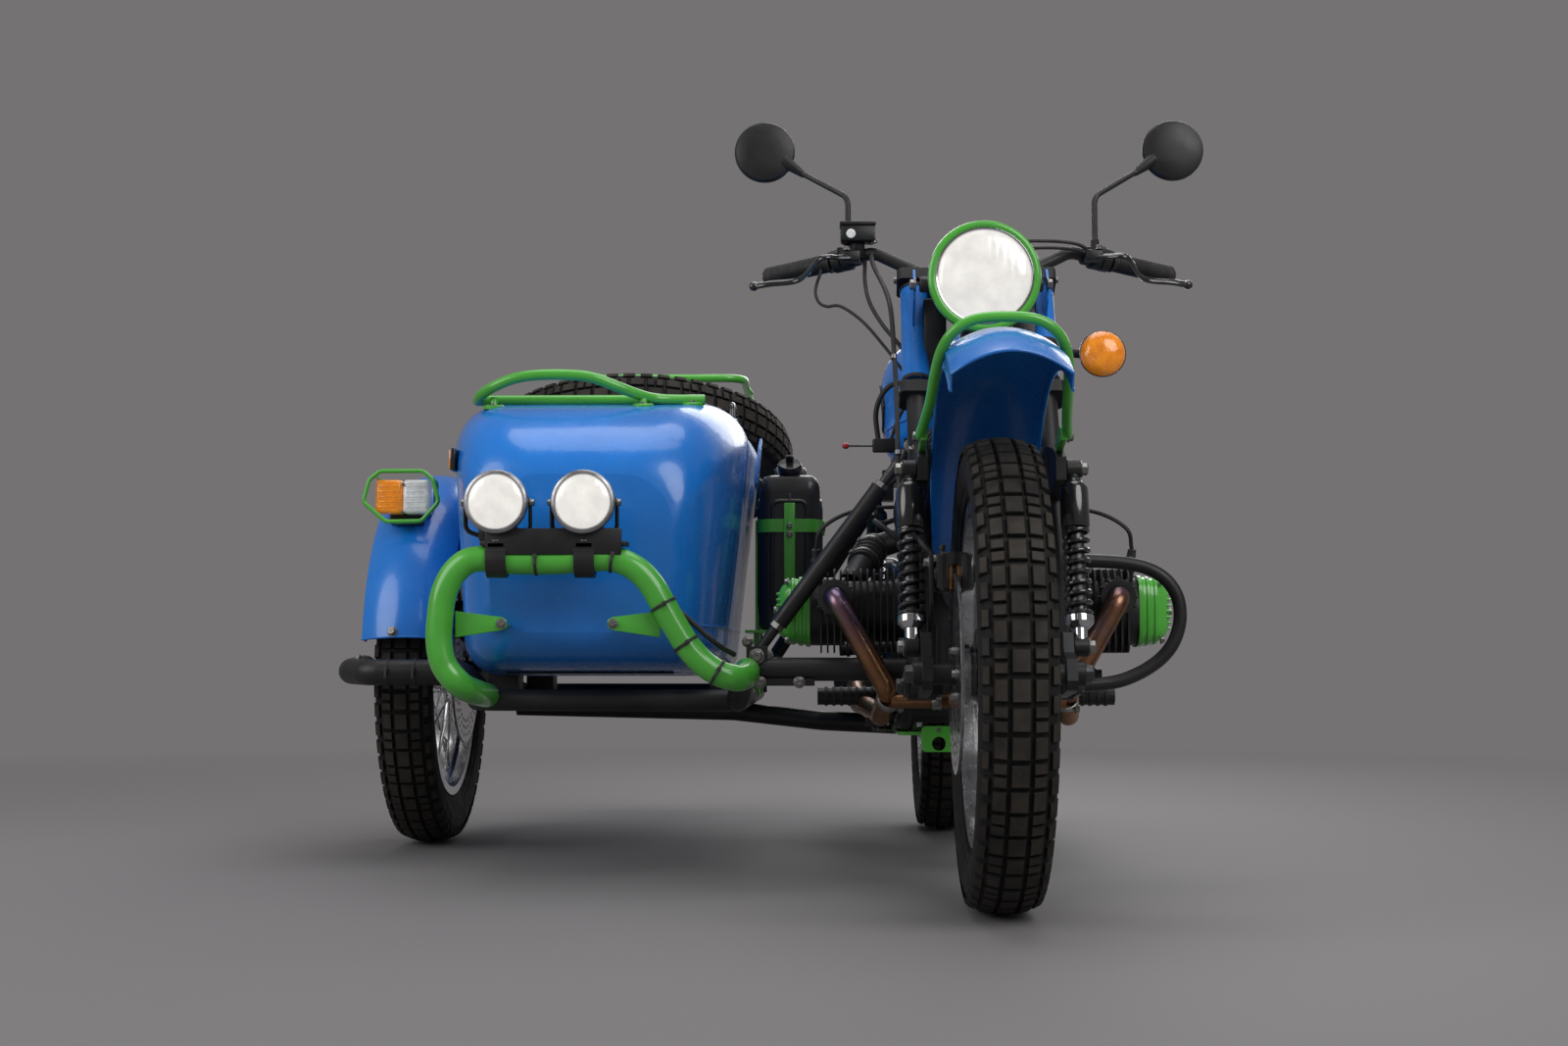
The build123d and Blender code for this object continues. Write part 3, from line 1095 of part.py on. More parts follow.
RAIL_TOP_D = 20.0
with BuildPart() as nose_rail:
    tube([(-872, 660, 790), (-901, 704, 851), (-475, 704, 851), (-492, 660, 790)], RAIL_TOP_D, 14)
    tube([(-856, 606, 770), (-800, 632, 887), (-672, 632, 887), (-583, 606, 770)], RAIL_TOP_D, 24)
    cut(sidecar_body, body_hollow)
write(nose_rail, "nose_rail")

CAN = (-326.0, 1140.0, 598.0)
CAN_SIZE = (122.0, 280.0, 335.0)
with BuildPart() as jerrycan:
    x, y, z = CAN
    with BuildSketch(Plane.XY.offset(z - CAN_SIZE[2] / 2)) as plan:
        with Locations((BIKE_X + x, FRONT_AXLE_Y + y)):
            RectangleRounded(CAN_SIZE[0], CAN_SIZE[1], 26)
    extrude(plan.sketch, amount=CAN_SIZE[2] - 26)
    for dy in (-70, 0, 70):
        block((x, y + dy, z + CAN_SIZE[2] / 2 - 14), (18, 90, 28))
    rod((x, y - 96, z + CAN_SIZE[2] / 2 - 27), (x, y - 112, z + CAN_SIZE[2] / 2 - 4), 44)
write(jerrycan, "jerrycan")

with BuildPart() as can_bracket:
    x, y, z = CAN
    floor_z = z - CAN_SIZE[2] / 2 - SEAT_GAP
    block((x - 12, y, floor_z - 3), (CAN_SIZE[0] + 30, CAN_SIZE[1] + 8, 6))
    for dy in (-90, 90):
        block((RIGHT_RAIL_X + 18, y + dy, (SIDE_RAIL_Z + floor_z) / 2), (12, 34, floor_z - SIDE_RAIL_Z))
        block((RIGHT_RAIL_X + 18, y + dy, (640 + floor_z) / 2), (6, 34, 660 - floor_z))
    strap_x, strap_y = CAN_SIZE[0] / 2 + SEAT_GAP, CAN_SIZE[1] / 2 + SEAT_GAP
    with BuildSketch(Plane.XY.offset(BODY_FLOOR_Z + 284)) as strap:
        with Locations((BIKE_X + x, FRONT_AXLE_Y + y)):
            RectangleRounded(2 * strap_x + 8, 2 * strap_y + 8, 30)
            RectangleRounded(2 * strap_x, 2 * strap_y, 26.3, mode=Mode.SUBTRACT)
    extrude(strap.sketch, amount=26)
    cut(sidecar_frame, sidecar_body, jerrycan)
write(can_bracket, "can_bracket")

with BuildPart() as sidecar_struts:
    for end, foot in (
        ((UPPER_LUG[0] - 6, UPPER_LUG[1], UPPER_LUG[2]), (LINK_OUT_X, LINK_TUBE_Y, LINK_TUBE_Z + 28)),
        ((-SEAT_RAIL_X - 20, 1300, SEAT_RAIL_Z - 10), (RIGHT_RAIL_X + 10, 1400, SIDE_RAIL_Z + 24)),
    ):
        way = Vector(*foot) - Vector(*end)
        rod(end, foot, 18)
        rod(tuple(Vector(*end) + way * 0.2), tuple(Vector(*end) + way * 0.86), 30)
        block(end, (22, 26, 26))
        block((foot[0], foot[1], foot[2] - 6), (36, 30, 34))
    cut(bike_frame, sidecar_frame)
write(sidecar_struts, "sidecar_struts")

with BuildPart() as brake_calipers:
    # rear motorcycle wheel, then the sidecar wheel
    for disc_x, y, z in ((DISC_X, WHEELBASE - 96, 452), (SIDECAR_WHEEL_X + DISC_X + 8, 1052, 448)):
        block((disc_x, y, z), (60 if y < 1200 else 44, 60, 66))
    for disc_x, axle_y in ((DISC_X, WHEELBASE), (SIDECAR_WHEEL_X + DISC_X, SIDECAR_WHEEL_Y)):
        with Locations(at((disc_x, axle_y, TYRE_R))):
            Cylinder(DISC_R + 5, DISC_T + 5, rotation=(0, 90, 0), mode=Mode.SUBTRACT)
    plate_across(DISC_X + 22, 6, [(WHEELBASE - 110, 470), (WHEELBASE - 70, 470), (WHEELBASE - 84, 366),
                                  (WHEELBASE - 110, 366)])
    plate_across(ARM_X - 6, 6, [(1030, 470), (1074, 470), (1090, 350), (1050, 350)])
    cut(rear_swingarm, sidecar_swingarm)
write(brake_calipers, "brake_calipers")
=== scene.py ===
import json
from math import copysign, cos, pi, radians, sin, tan

import bmesh
import bpy
from bpy.props import FloatProperty, FloatVectorProperty, IntProperty, PointerProperty
from mathutils import Matrix, Vector
from mathutils.bvhtree import BVHTree


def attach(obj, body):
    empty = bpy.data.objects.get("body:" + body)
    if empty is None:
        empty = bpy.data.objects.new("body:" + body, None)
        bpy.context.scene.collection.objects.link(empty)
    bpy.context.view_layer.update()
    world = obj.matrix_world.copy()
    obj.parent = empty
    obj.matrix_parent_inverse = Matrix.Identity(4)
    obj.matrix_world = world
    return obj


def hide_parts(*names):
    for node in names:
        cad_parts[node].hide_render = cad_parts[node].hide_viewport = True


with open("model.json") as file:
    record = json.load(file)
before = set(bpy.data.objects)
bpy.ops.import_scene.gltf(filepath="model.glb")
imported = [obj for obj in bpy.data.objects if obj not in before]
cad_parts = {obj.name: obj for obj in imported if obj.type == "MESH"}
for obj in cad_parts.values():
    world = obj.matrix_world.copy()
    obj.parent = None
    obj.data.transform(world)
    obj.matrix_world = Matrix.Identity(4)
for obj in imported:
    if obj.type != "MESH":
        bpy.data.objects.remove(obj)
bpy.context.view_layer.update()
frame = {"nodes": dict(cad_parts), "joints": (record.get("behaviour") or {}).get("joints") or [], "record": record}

bl_info = {
    "name": "Sidecar Motorcycle",
    "version": (1, 0, 0),
    "blender": (4, 5, 0),
    "location": "3D View > Sidebar > Sidecar",
    "description": "Dresses a flat-twin motorcycle and its sidecar, and lights them in a plain studio",
    "category": "Object",
}

# Places are in millimetres from the ground under the front axle: x to the
# rider's left, y rearward and z up.
JOINTS = {joint["name"]: joint for joint in frame["joints"]}
AXLE = Vector(JOINTS["front_spin"]["pos_m"])
RAKE = radians(27)
TRAIL = 70.0
TYRE_R = 350.0
WHEELBASE = 1500.0
SIDECAR_X = -677.0
SIDES = (-1, 1)
LEFT, RIGHT, BACK, AHEAD = (1, 0, 0), (-1, 0, 0), (0, 1, 0), (0, -1, 0)
UP, DOWN = (0, 0, 1), (0, 0, -1)
CHASSIS, FORK, TRUNK = "chassis", "fork_body", "trunk_body"
NODES = frame["nodes"]


def at(x, y, z):
    return Vector((x, y, z))


def mm(x, y, z):
    """A place in millimetres, in the model's own frame in metres."""
    return at(AXLE.x + x / 1000, AXLE.y + y / 1000, z / 1000)


def steered(x, ahead, height):
    """A place beside the steering axis, in millimetres."""
    y = -TRAIL + height * tan(RAKE)
    return at(x, y - ahead * cos(RAKE), height + ahead * sin(RAKE))


DECK_UP = at(0, 210, 600).normalized()


def on_deck(x, y, lift):
    """A place above the sloping rear deck of the sidecar."""
    return at(SIDECAR_X + x, y, 850 - 210 * (y - 1300) / 600) + DECK_UP * lift


# --- settings that a user would change ---
def colour(name, description, value):
    return FloatVectorProperty(name=name, description=description, subtype="COLOR", size=3,
                               min=0, max=1, default=value)


def length(name, description, value):
    return FloatProperty(name=name, description=description, default=value, min=0,
                         subtype="DISTANCE", unit="LENGTH")


class FinishSettings(bpy.types.PropertyGroup):
    body_paint: colour("Body paint", "Blue of the tank, fenders and sidecar", (0.010, 0.178, 0.620))
    guard_paint: colour("Guard paint", "Green of the guards, racks and valve covers", (0.075, 0.420, 0.040))
    frame_black: colour("Frame black", "Satin black of the frames and bars", (0.012, 0.012, 0.013))
    header_bronze: colour("Header bronze", "Heated steel of the exhaust headers", (0.300, 0.150, 0.075))
    tyre_black: colour("Tyre black", "Worn rubber of the tyres", (0.011, 0.0095, 0.0085))
    seat_vinyl: colour("Seat vinyl", "Grained cover of the seats", (0.013, 0.013, 0.014))
    lamp_glow: FloatProperty(name="Lamp glow", description="Strength of the lit lamps", default=0.75,
                             min=0, max=20)


class TreadSettings(bpy.types.PropertyGroup):
    pitches: IntProperty(name="Tread pitches", description="Repeats of the tread round a tyre",
                         default=56, min=12, max=90)
    depth: length("Tread depth", "Height of the tread blocks over the carcass", 0.0075)


class SeatSettings(bpy.types.PropertyGroup):
    pressure: FloatProperty(name="Padding pressure", description="How hard the padding fills its cover",
                            default=4.0, min=0, max=20)
    swell: length("Swell", "Furthest that the padding may swell out", 0.014)
    voxel: length("Voxel", "Mesh size that the cover is simulated at", 0.006)


class StudioSettings(bpy.types.PropertyGroup):
    floor: colour("Floor", "Colour of the floor", (0.180, 0.172, 0.176))
    backdrop: colour("Backdrop", "Colour of the surroundings", (0.178, 0.168, 0.171))
    key: FloatProperty(name="Key lamp", description="Power of the main soft lamp", default=110,
                       min=0, unit="POWER")
    fill: FloatProperty(name="Fill lamp", description="Power of the soft lamp at the other side",
                        default=56, min=0, unit="POWER")


GROUPS = {"sidecar_finish": FinishSettings, "sidecar_tread": TreadSettings,
          "sidecar_seat": SeatSettings, "sidecar_studio": StudioSettings}


# --- materials ---
class Nodes:
    """Small help for writing a material's node tree."""

    def __init__(self, name, owner=None):
        self.material = owner or bpy.data.materials.new(name)
        self.material.use_nodes = True
        self.tree = self.material.node_tree
        self.shader = self.tree.nodes.get("Principled BSDF")
        self.coords = None

    def node(self, kind, **values):
        made = self.tree.nodes.new(kind)
        for key, value in values.items():
            if hasattr(made, key) and key not in made.inputs:
                setattr(made, key, value)
            else:
                made.inputs[key].default_value = value
        return made

    def link(self, output, target):
        self.tree.links.new(output, target)

    def place(self):
        if self.coords is None:
            self.coords = self.node("ShaderNodeTexCoord")
        return self.coords.outputs["Object"]

    def noise(self, scale, detail=4, rough=0.55):
        made = self.node("ShaderNodeTexNoise", Scale=scale, Detail=detail, Roughness=rough)
        self.link(self.place(), made.inputs["Vector"])
        return made.outputs["Fac"]

    def cells(self, scale, feature="F1"):
        made = self.node("ShaderNodeTexVoronoi", feature=feature, Scale=scale)
        self.link(self.place(), made.inputs["Vector"])
        return made.outputs["Distance"]

    def spread(self, value, low, high, to_low=0, to_high=1):
        made = self.node("ShaderNodeMapRange", **{"From Min": low, "From Max": high, "To Min": to_low,
                                                  "To Max": to_high})
        self.link(value, made.inputs["Value"])
        return made.outputs["Result"]

    def mix(self, share, first, second):
        made = self.node("ShaderNodeMix", data_type="RGBA")
        self.link(share, made.inputs["Factor"])
        for socket, value in ((made.inputs[6], first), (made.inputs[7], second)):
            if isinstance(value, (tuple, list)):
                socket.default_value = (*value[:3], 1)
            else:
                self.link(value, socket)
        return made.outputs[2]

    def combine(self, operation, first, second):
        """Two values multiplied or added, or the larger one."""
        made = self.node("ShaderNodeMath", operation=operation)
        self.link(first, made.inputs[0])
        self.link(second, made.inputs[1])
        return made.outputs[0]

    def blend(self, share, first, second):
        """One shader that fades into another."""
        made = self.node("ShaderNodeMixShader")
        for output, socket in zip((share, first, second), made.inputs):
            self.link(output, socket)
        return made.outputs[0]

    def edges(self, radius):
        """A mask of the solid's edges, and the rounded normal that goes with it."""
        round_edge = self.node("ShaderNodeBevel", samples=4, Radius=radius)
        flat = self.node("ShaderNodeNewGeometry")
        dot = self.node("ShaderNodeVectorMath", operation="DOT_PRODUCT")
        self.link(round_edge.outputs["Normal"], dot.inputs[0])
        self.link(flat.outputs["Normal"], dot.inputs[1])
        return self.spread(dot.outputs["Value"], 0.99, 0.86), round_edge.outputs["Normal"]

    def rubbed(self, base, radius, scale, low, high, share, bare):
        """A colour that is rubbed to a bare one at the edges, and their rounded normal."""
        mask, normal = self.edges(radius)
        rub = self.spread(self.noise(scale, 5, 0.7), low, high, 0, share)
        return self.mix(self.combine("MULTIPLY", mask, rub), base, bare), normal

    def base(self, value):
        """The colour, from a node or as a plain value."""
        if isinstance(value, tuple):
            self.shader.inputs["Base Color"].default_value = (*value, 1)
        else:
            self.link(value, self.shader.inputs["Base Color"])

    def rough(self, *values):
        """The roughness, as spread() makes it from a mask."""
        self.link(self.spread(*values), self.shader.inputs["Roughness"])

    def bump(self, height, strength, distance, normal=None):
        made = self.node("ShaderNodeBump", Strength=strength, Distance=distance)
        self.link(height, made.inputs["Height"])
        if normal is not None:
            self.link(normal, made.inputs["Normal"])
        self.link(made.outputs["Normal"], self.shader.inputs["Normal"])

    def set(self, **values):
        for key, value in values.items():
            self.shader.inputs[key.replace("_", " ")].default_value = value


def shade(value, by):
    return tuple(max(0, min(1, channel * by)) for channel in value)


def painted(name, value, rough, coat, orange_peel=0.1, wear=0.35):
    """Gloss or satin paint: slight cloudiness, fine orange peel, edges rubbed a little lighter."""
    n = Nodes(name)
    base = n.mix(n.spread(n.noise(5), 0.35, 0.65), shade(value, 0.9), shade(value, 1.08))
    dust = n.spread(n.noise(46, 6, 0.7), 0.56, 0.78, 0, 0.16)
    base = n.mix(dust, base, tuple(0.6 * c + 0.05 for c in value))
    base, normal = n.rubbed(base, 0.0016, 70, 0.42, 0.62, wear, tuple(min(1, 0.75 * c + 0.1) for c in value))
    n.base(base)
    n.rough(n.noise(24, 5, 0.6), 0.3, 0.7, rough * 0.8, rough * 1.25)
    n.bump(n.noise(420, 2), orange_peel, 0.0004, normal)
    n.set(Coat_Weight=coat, Coat_Roughness=0.04)
    return n.material


def powder_coat(name, value):
    """Satin powder coat over tube or casting, with lighter dusty patches at random and edges rubbed to bare steel.
    """
    n = Nodes(name)
    base = n.mix(n.spread(n.noise(9), 0.35, 0.68), shade(value, 0.8), shade(value, 1.5))
    base, normal = n.rubbed(base, 0.0014, 90, 0.48, 0.66, 0.5, (0.09, 0.09, 0.088))
    n.base(base)
    n.rough(n.noise(30), 0.3, 0.7, 0.3444, 0.504)
    n.bump(n.noise(950, 3), 0.22, 0.0004, normal)
    n.set(Specular_IOR_Level=0.45)
    return n.material


def cast_metal(name, value):
    """Sand-cast surface under paint, with a coarse grain and blotchy stains at random."""
    n = Nodes(name)
    n.base(n.mix(n.spread(n.noise(14, 6, 0.65), 0.35, 0.7), shade(value, 0.65), shade(value, 1.5)))
    n.rough(n.noise(60), 0.3, 0.7, 0.4, 0.6)
    n.bump(n.cells(620), 0.28, 0.0006, n.edges(0.0018)[1])
    return n.material


def bright_metal(name, value, rough):
    """Polished or brushed metal with fine turning marks and dull spots."""
    n = Nodes(name)
    n.base(n.mix(n.spread(n.noise(22, 6, 0.7), 0.45, 0.75), value, shade(value, 0.72)))
    n.rough(n.noise(40, 5, 0.7), 0.35, 0.75, rough * 0.7, rough * 1.8)
    n.bump(n.noise(700, 2), 0.06, 0.0003, n.edges(0.001)[1])
    n.set(Metallic=1)
    return n.material


def heated_steel(name, value):
    """Steel header that heat has turned bronze, with purple and blue near the port."""
    n = Nodes(name)
    split = n.node("ShaderNodeSeparateXYZ")
    n.link(n.place(), split.inputs[0])
    high = n.spread(split.outputs["Z"], 0.26, 0.5)
    warm = n.mix(n.spread(n.noise(11, 5, 0.6), 0.35, 0.65), shade(value, 0.75), shade(value, 1.25))
    blue = n.mix(n.spread(n.noise(18, 4, 0.6), 0.4, 0.62), (0.2, 0.12, 0.24), (0.12, 0.16, 0.3))
    patch = n.combine("MULTIPLY", n.spread(high, 0.45, 1), n.spread(n.noise(7, 3), 0.4, 0.58, 0.15, 0.85))
    n.base(n.mix(patch, warm, blue))
    n.rough(n.noise(60, 6, 0.7), 0.3, 0.75, 0.22, 0.46)
    n.bump(n.noise(800, 3), 0.1, 0.0004)
    n.set(Metallic=1)
    return n.material


def tyre_rubber(name, value, worn):
    """Tyre rubber: dry, a little brown with road dust, scuffed on the running faces."""
    n = Nodes(name)
    dust = n.spread(n.noise(12, 6, 0.7), 0.35, 0.7, 0, 0.75 if worn else 0.2)
    base = n.mix(dust, value, (0.058, 0.047, 0.036) if worn else (0.02, 0.017, 0.014))
    grit = n.spread(n.noise(240, 4, 0.7), 0.55, 0.75, 0, 0.35)
    n.base(n.mix(grit, base, (0.06, 0.052, 0.043)))
    n.rough(n.noise(30), 0.3, 0.7, 0.62, 0.86)
    n.bump(n.noise(520, 6, 0.7), 0.35 if worn else 0.18, 0.0008)
    n.set(Specular_IOR_Level=0.35)
    return n.material


def soft_rubber(name, value, rough=0.6):
    """Plain moulded rubber or lining, a little cloudy."""
    n = Nodes(name)
    n.base(n.mix(n.spread(n.noise(26, 5), 0.35, 0.7), shade(value, 0.8), shade(value, 1.7)))
    n.rough(n.noise(50), 0.3, 0.7, rough * 0.85, rough * 1.15)
    n.bump(n.noise(900, 3), 0.15, 0.0004)
    return n.material


def grained_vinyl(name, value):
    """Seat cover: leather grain cells, fine pores, a little sheen where people sit."""
    n = Nodes(name)
    n.base(n.mix(n.spread(n.noise(10, 4), 0.35, 0.68), shade(value, 0.85), shade(value, 1.9)))
    n.rough(n.noise(16, 5), 0.3, 0.7, 0.36, 0.56)
    grain = n.combine("ADD", n.cells(430, "DISTANCE_TO_EDGE"), n.spread(n.noise(1300, 3), 0.3, 0.7, 0, 0.12))
    n.bump(grain, 0.3, 0.0007)
    n.set(Sheen_Weight=0.08, Sheen_Roughness=0.5)
    return n.material


def lit_lens(name, value, glow):
    """Moulded lens with a lit bulb behind it: brighter patches under fine ribs."""
    n = Nodes(name)
    wave = n.node("ShaderNodeTexWave", Scale=26, Distortion=0)
    n.link(n.place(), wave.inputs["Vector"])
    patch = n.spread(n.noise(30, 3), 0.3, 0.7)
    n.base(n.mix(patch, shade(value, 0.2), shade(value, 0.26)))
    n.link(n.mix(patch, shade(value, 0.82), value), n.shader.inputs["Emission Color"])
    n.bump(wave.outputs["Fac"], 0.35, 0.0008)
    n.set(Roughness=0.12, Emission_Strength=glow, Coat_Weight=0.6, Coat_Roughness=0.03)
    return n.material


def coloured_lens_painted_glow(name, value, glow):
    """Translucent plastic lens with a moulded texture and a clear skin, and a faint glow of painted light that
    shines under any lamp, also where the lens is no lit lamp.
    """
    n = Nodes(name)
    tone = n.mix(n.spread(n.noise(60, 3), 0.3, 0.7), shade(value, 0.75), shade(value, 1.15))
    n.base(tone)
    # painted light: the lens's colour also glows as emission
    n.link(tone, n.shader.inputs["Emission Color"])
    n.bump(n.cells(240), 0.4, 0.001)
    n.set(Roughness=0.1, Emission_Strength=glow, Coat_Weight=0.7, Coat_Roughness=0.03,
          Subsurface_Weight=0.15, Subsurface_Scale=0.01)
    return n.material


def mirror_glass(name):
    """Silvered glass with faint smears."""
    n = Nodes(name)
    n.rough(n.noise(12, 4), 0.4, 0.7, 0.01, 0.05)
    n.base((0.82, 0.83, 0.84))
    n.set(Metallic=1)
    return n.material


def blank_plate(name):
    """White plate enamel, yellowed in patches."""
    n = Nodes(name)
    n.base(n.mix(n.spread(n.noise(20, 5), 0.45, 0.75), (0.72, 0.72, 0.7), (0.55, 0.54, 0.5)))
    n.bump(n.cells(900), 0.2, 0.0004)
    n.set(Roughness=0.35, Coat_Weight=0.3)
    return n.material


MATERIALS = {}


def make_materials(finish):
    """Every finish of the object, by name."""
    black = tuple(finish.frame_black)
    MATERIALS.update({
        "blue": painted("blue_paint", tuple(finish.body_paint), 0.26, 0.35),
        "green": painted("green_paint", tuple(finish.guard_paint), 0.3, 0.55, 0.2, 0.5),
        "black": powder_coat("black_powder", black),
        "gloss": painted("black_gloss", black, 0.2, 0.8, wear=0.2),
        "casting": cast_metal("black_casting", (0.019, 0.019, 0.02)),
        "can": painted("can_black", (0.015, 0.015, 0.016), 0.36, 0.3, 0.3, 0.6),
        "bronze": heated_steel("bronze_header", tuple(finish.header_bronze)),
        "chrome": bright_metal("chrome", (0.62, 0.62, 0.63), 0.08),
        "alloy": bright_metal("wheel_alloy", (0.6, 0.6, 0.61), 0.2),
        "steel": bright_metal("plain_steel", (0.42, 0.42, 0.43), 0.34),
        "zinc": bright_metal("zinc_bolt", (0.3, 0.295, 0.28), 0.34),
        "dark": bright_metal("dark_steel", (0.1, 0.1, 0.105), 0.38),
        "brass": bright_metal("pad_bronze", (0.48, 0.27, 0.12), 0.42),
        "tyre": tyre_rubber("tyre_side", shade(tuple(finish.tyre_black), 0.55), False),
        "tread": tyre_rubber("tyre_tread", tuple(finish.tyre_black), True),
        "rubber": soft_rubber("black_rubber", (0.016, 0.016, 0.016)),
        "vinyl": grained_vinyl("seat_vinyl", tuple(finish.seat_vinyl)),
        "lit": lit_lens("lit_lens", (1, 0.97, 0.92), finish.lamp_glow),
        # these lenses glow faintly as painted light, also on the reflector and the reservoir's window, which are
        # no lamps
        "clear": coloured_lens_painted_glow("clear_lens", (0.66, 0.67, 0.66), 0.1),
        "amber": coloured_lens_painted_glow("amber_lens", (0.95, 0.28, 0.015), 0.12),
        "red": coloured_lens_painted_glow("red_lens", (0.55, 0.01, 0.01), 0.05),
        "mirror": mirror_glass("mirror_glass"),
        "plate": blank_plate("blank_plate"),
        # near-black of the gauge's dial, and painted shade in the brake discs' holes
        "dial_and_hole_shade": soft_rubber("dial_black_and_hole_shade", (0.004, 0.004, 0.004), 0.9),
        "red_paint": painted("red_tip", (0.45, 0.01, 0.01), 0.3, 0.4),
        "carpet": soft_rubber("floor_lining", (0.02, 0.02, 0.021), 0.95),
    })


# the finishes that stand for each slot of the record; a node that stays gets the first
FINISHES_OF_SLOT = {
    "blue_paint": ("blue",), "green_paint": ("green",), "black_paint": ("black", "gloss", "dark"),
    "engine_black": ("casting",), "can_black": ("can",), "bronze_steel": ("bronze", "brass"),
    "wheel_metal": ("alloy", "chrome", "steel", "zinc", "mirror", "plate"), "tyre_rubber": ("tyre", "tread"),
    "rubber": ("rubber", "dial_and_hole_shade", "carpet"), "seat_vinyl": ("vinyl",), "lamp_glass": ("clear", "lit"),
    "amber_lens": ("amber",), "red_lens": ("red", "red_paint"),
}


# --- shapes ---
def axes(along):
    """Two directions square to the first one."""
    axis = Vector(along).normalized()
    side = axis.orthogonal().normalized()
    return axis, side, axis.cross(side)


def rounded(points, radius, steps=6, closed=False):
    """A path of straight runs with an arc at each corner."""
    spots = [Vector(p) for p in points]
    count = len(spots)
    path = [] if closed else [spots[0]]
    for i in range(count) if closed else range(1, count - 1):
        before, here, after = spots[i - 1], spots[i], spots[(i + 1) % count]
        a, b = (before - here), (after - here)
        angle = a.angle(b)
        if abs(pi - angle) < 0.02:
            path.append(here)
            continue
        reach = min(radius / tan(angle / 2), 0.48 * a.length, 0.48 * b.length)
        start, end = here + a.normalized() * reach, here + b.normalized() * reach
        for k in range(steps + 1):
            t = k / steps
            path.append((1 - t) ** 2 * start + 2 * t * (1 - t) * here + t * t * end)
    if not closed:
        path.append(spots[-1])
    return path


def flowing(points, per=8):
    """A smooth path through every point, as a cable lies."""
    spots = [Vector(p) for p in points]
    spots = [2 * spots[0] - spots[1], *spots, 2 * spots[-1] - spots[-2]]
    path = []
    for i in range(1, len(spots) - 2):
        p0, p1, p2, p3 = spots[i - 1:i + 3]
        for k in range(per):
            t = k / per
            path.append(0.5 * (2 * p1 + (p2 - p0) * t + (2 * p0 - 5 * p1 + 4 * p2 - p3) * t ** 2
                               + (3 * p1 - p0 - 3 * p2 + p3) * t ** 3))
    path.append(spots[-2])
    return path


def oval(half_a, half_b, power=0.42, count=40):
    """A squarish ring of (a, b) places; a smaller power is squarer."""
    turns = [2 * pi * k / count for k in range(count)]
    return [(half_a * copysign(abs(cos(t)) ** power, cos(t)),
             half_b * copysign(abs(sin(t)) ** power, sin(t))) for t in turns]


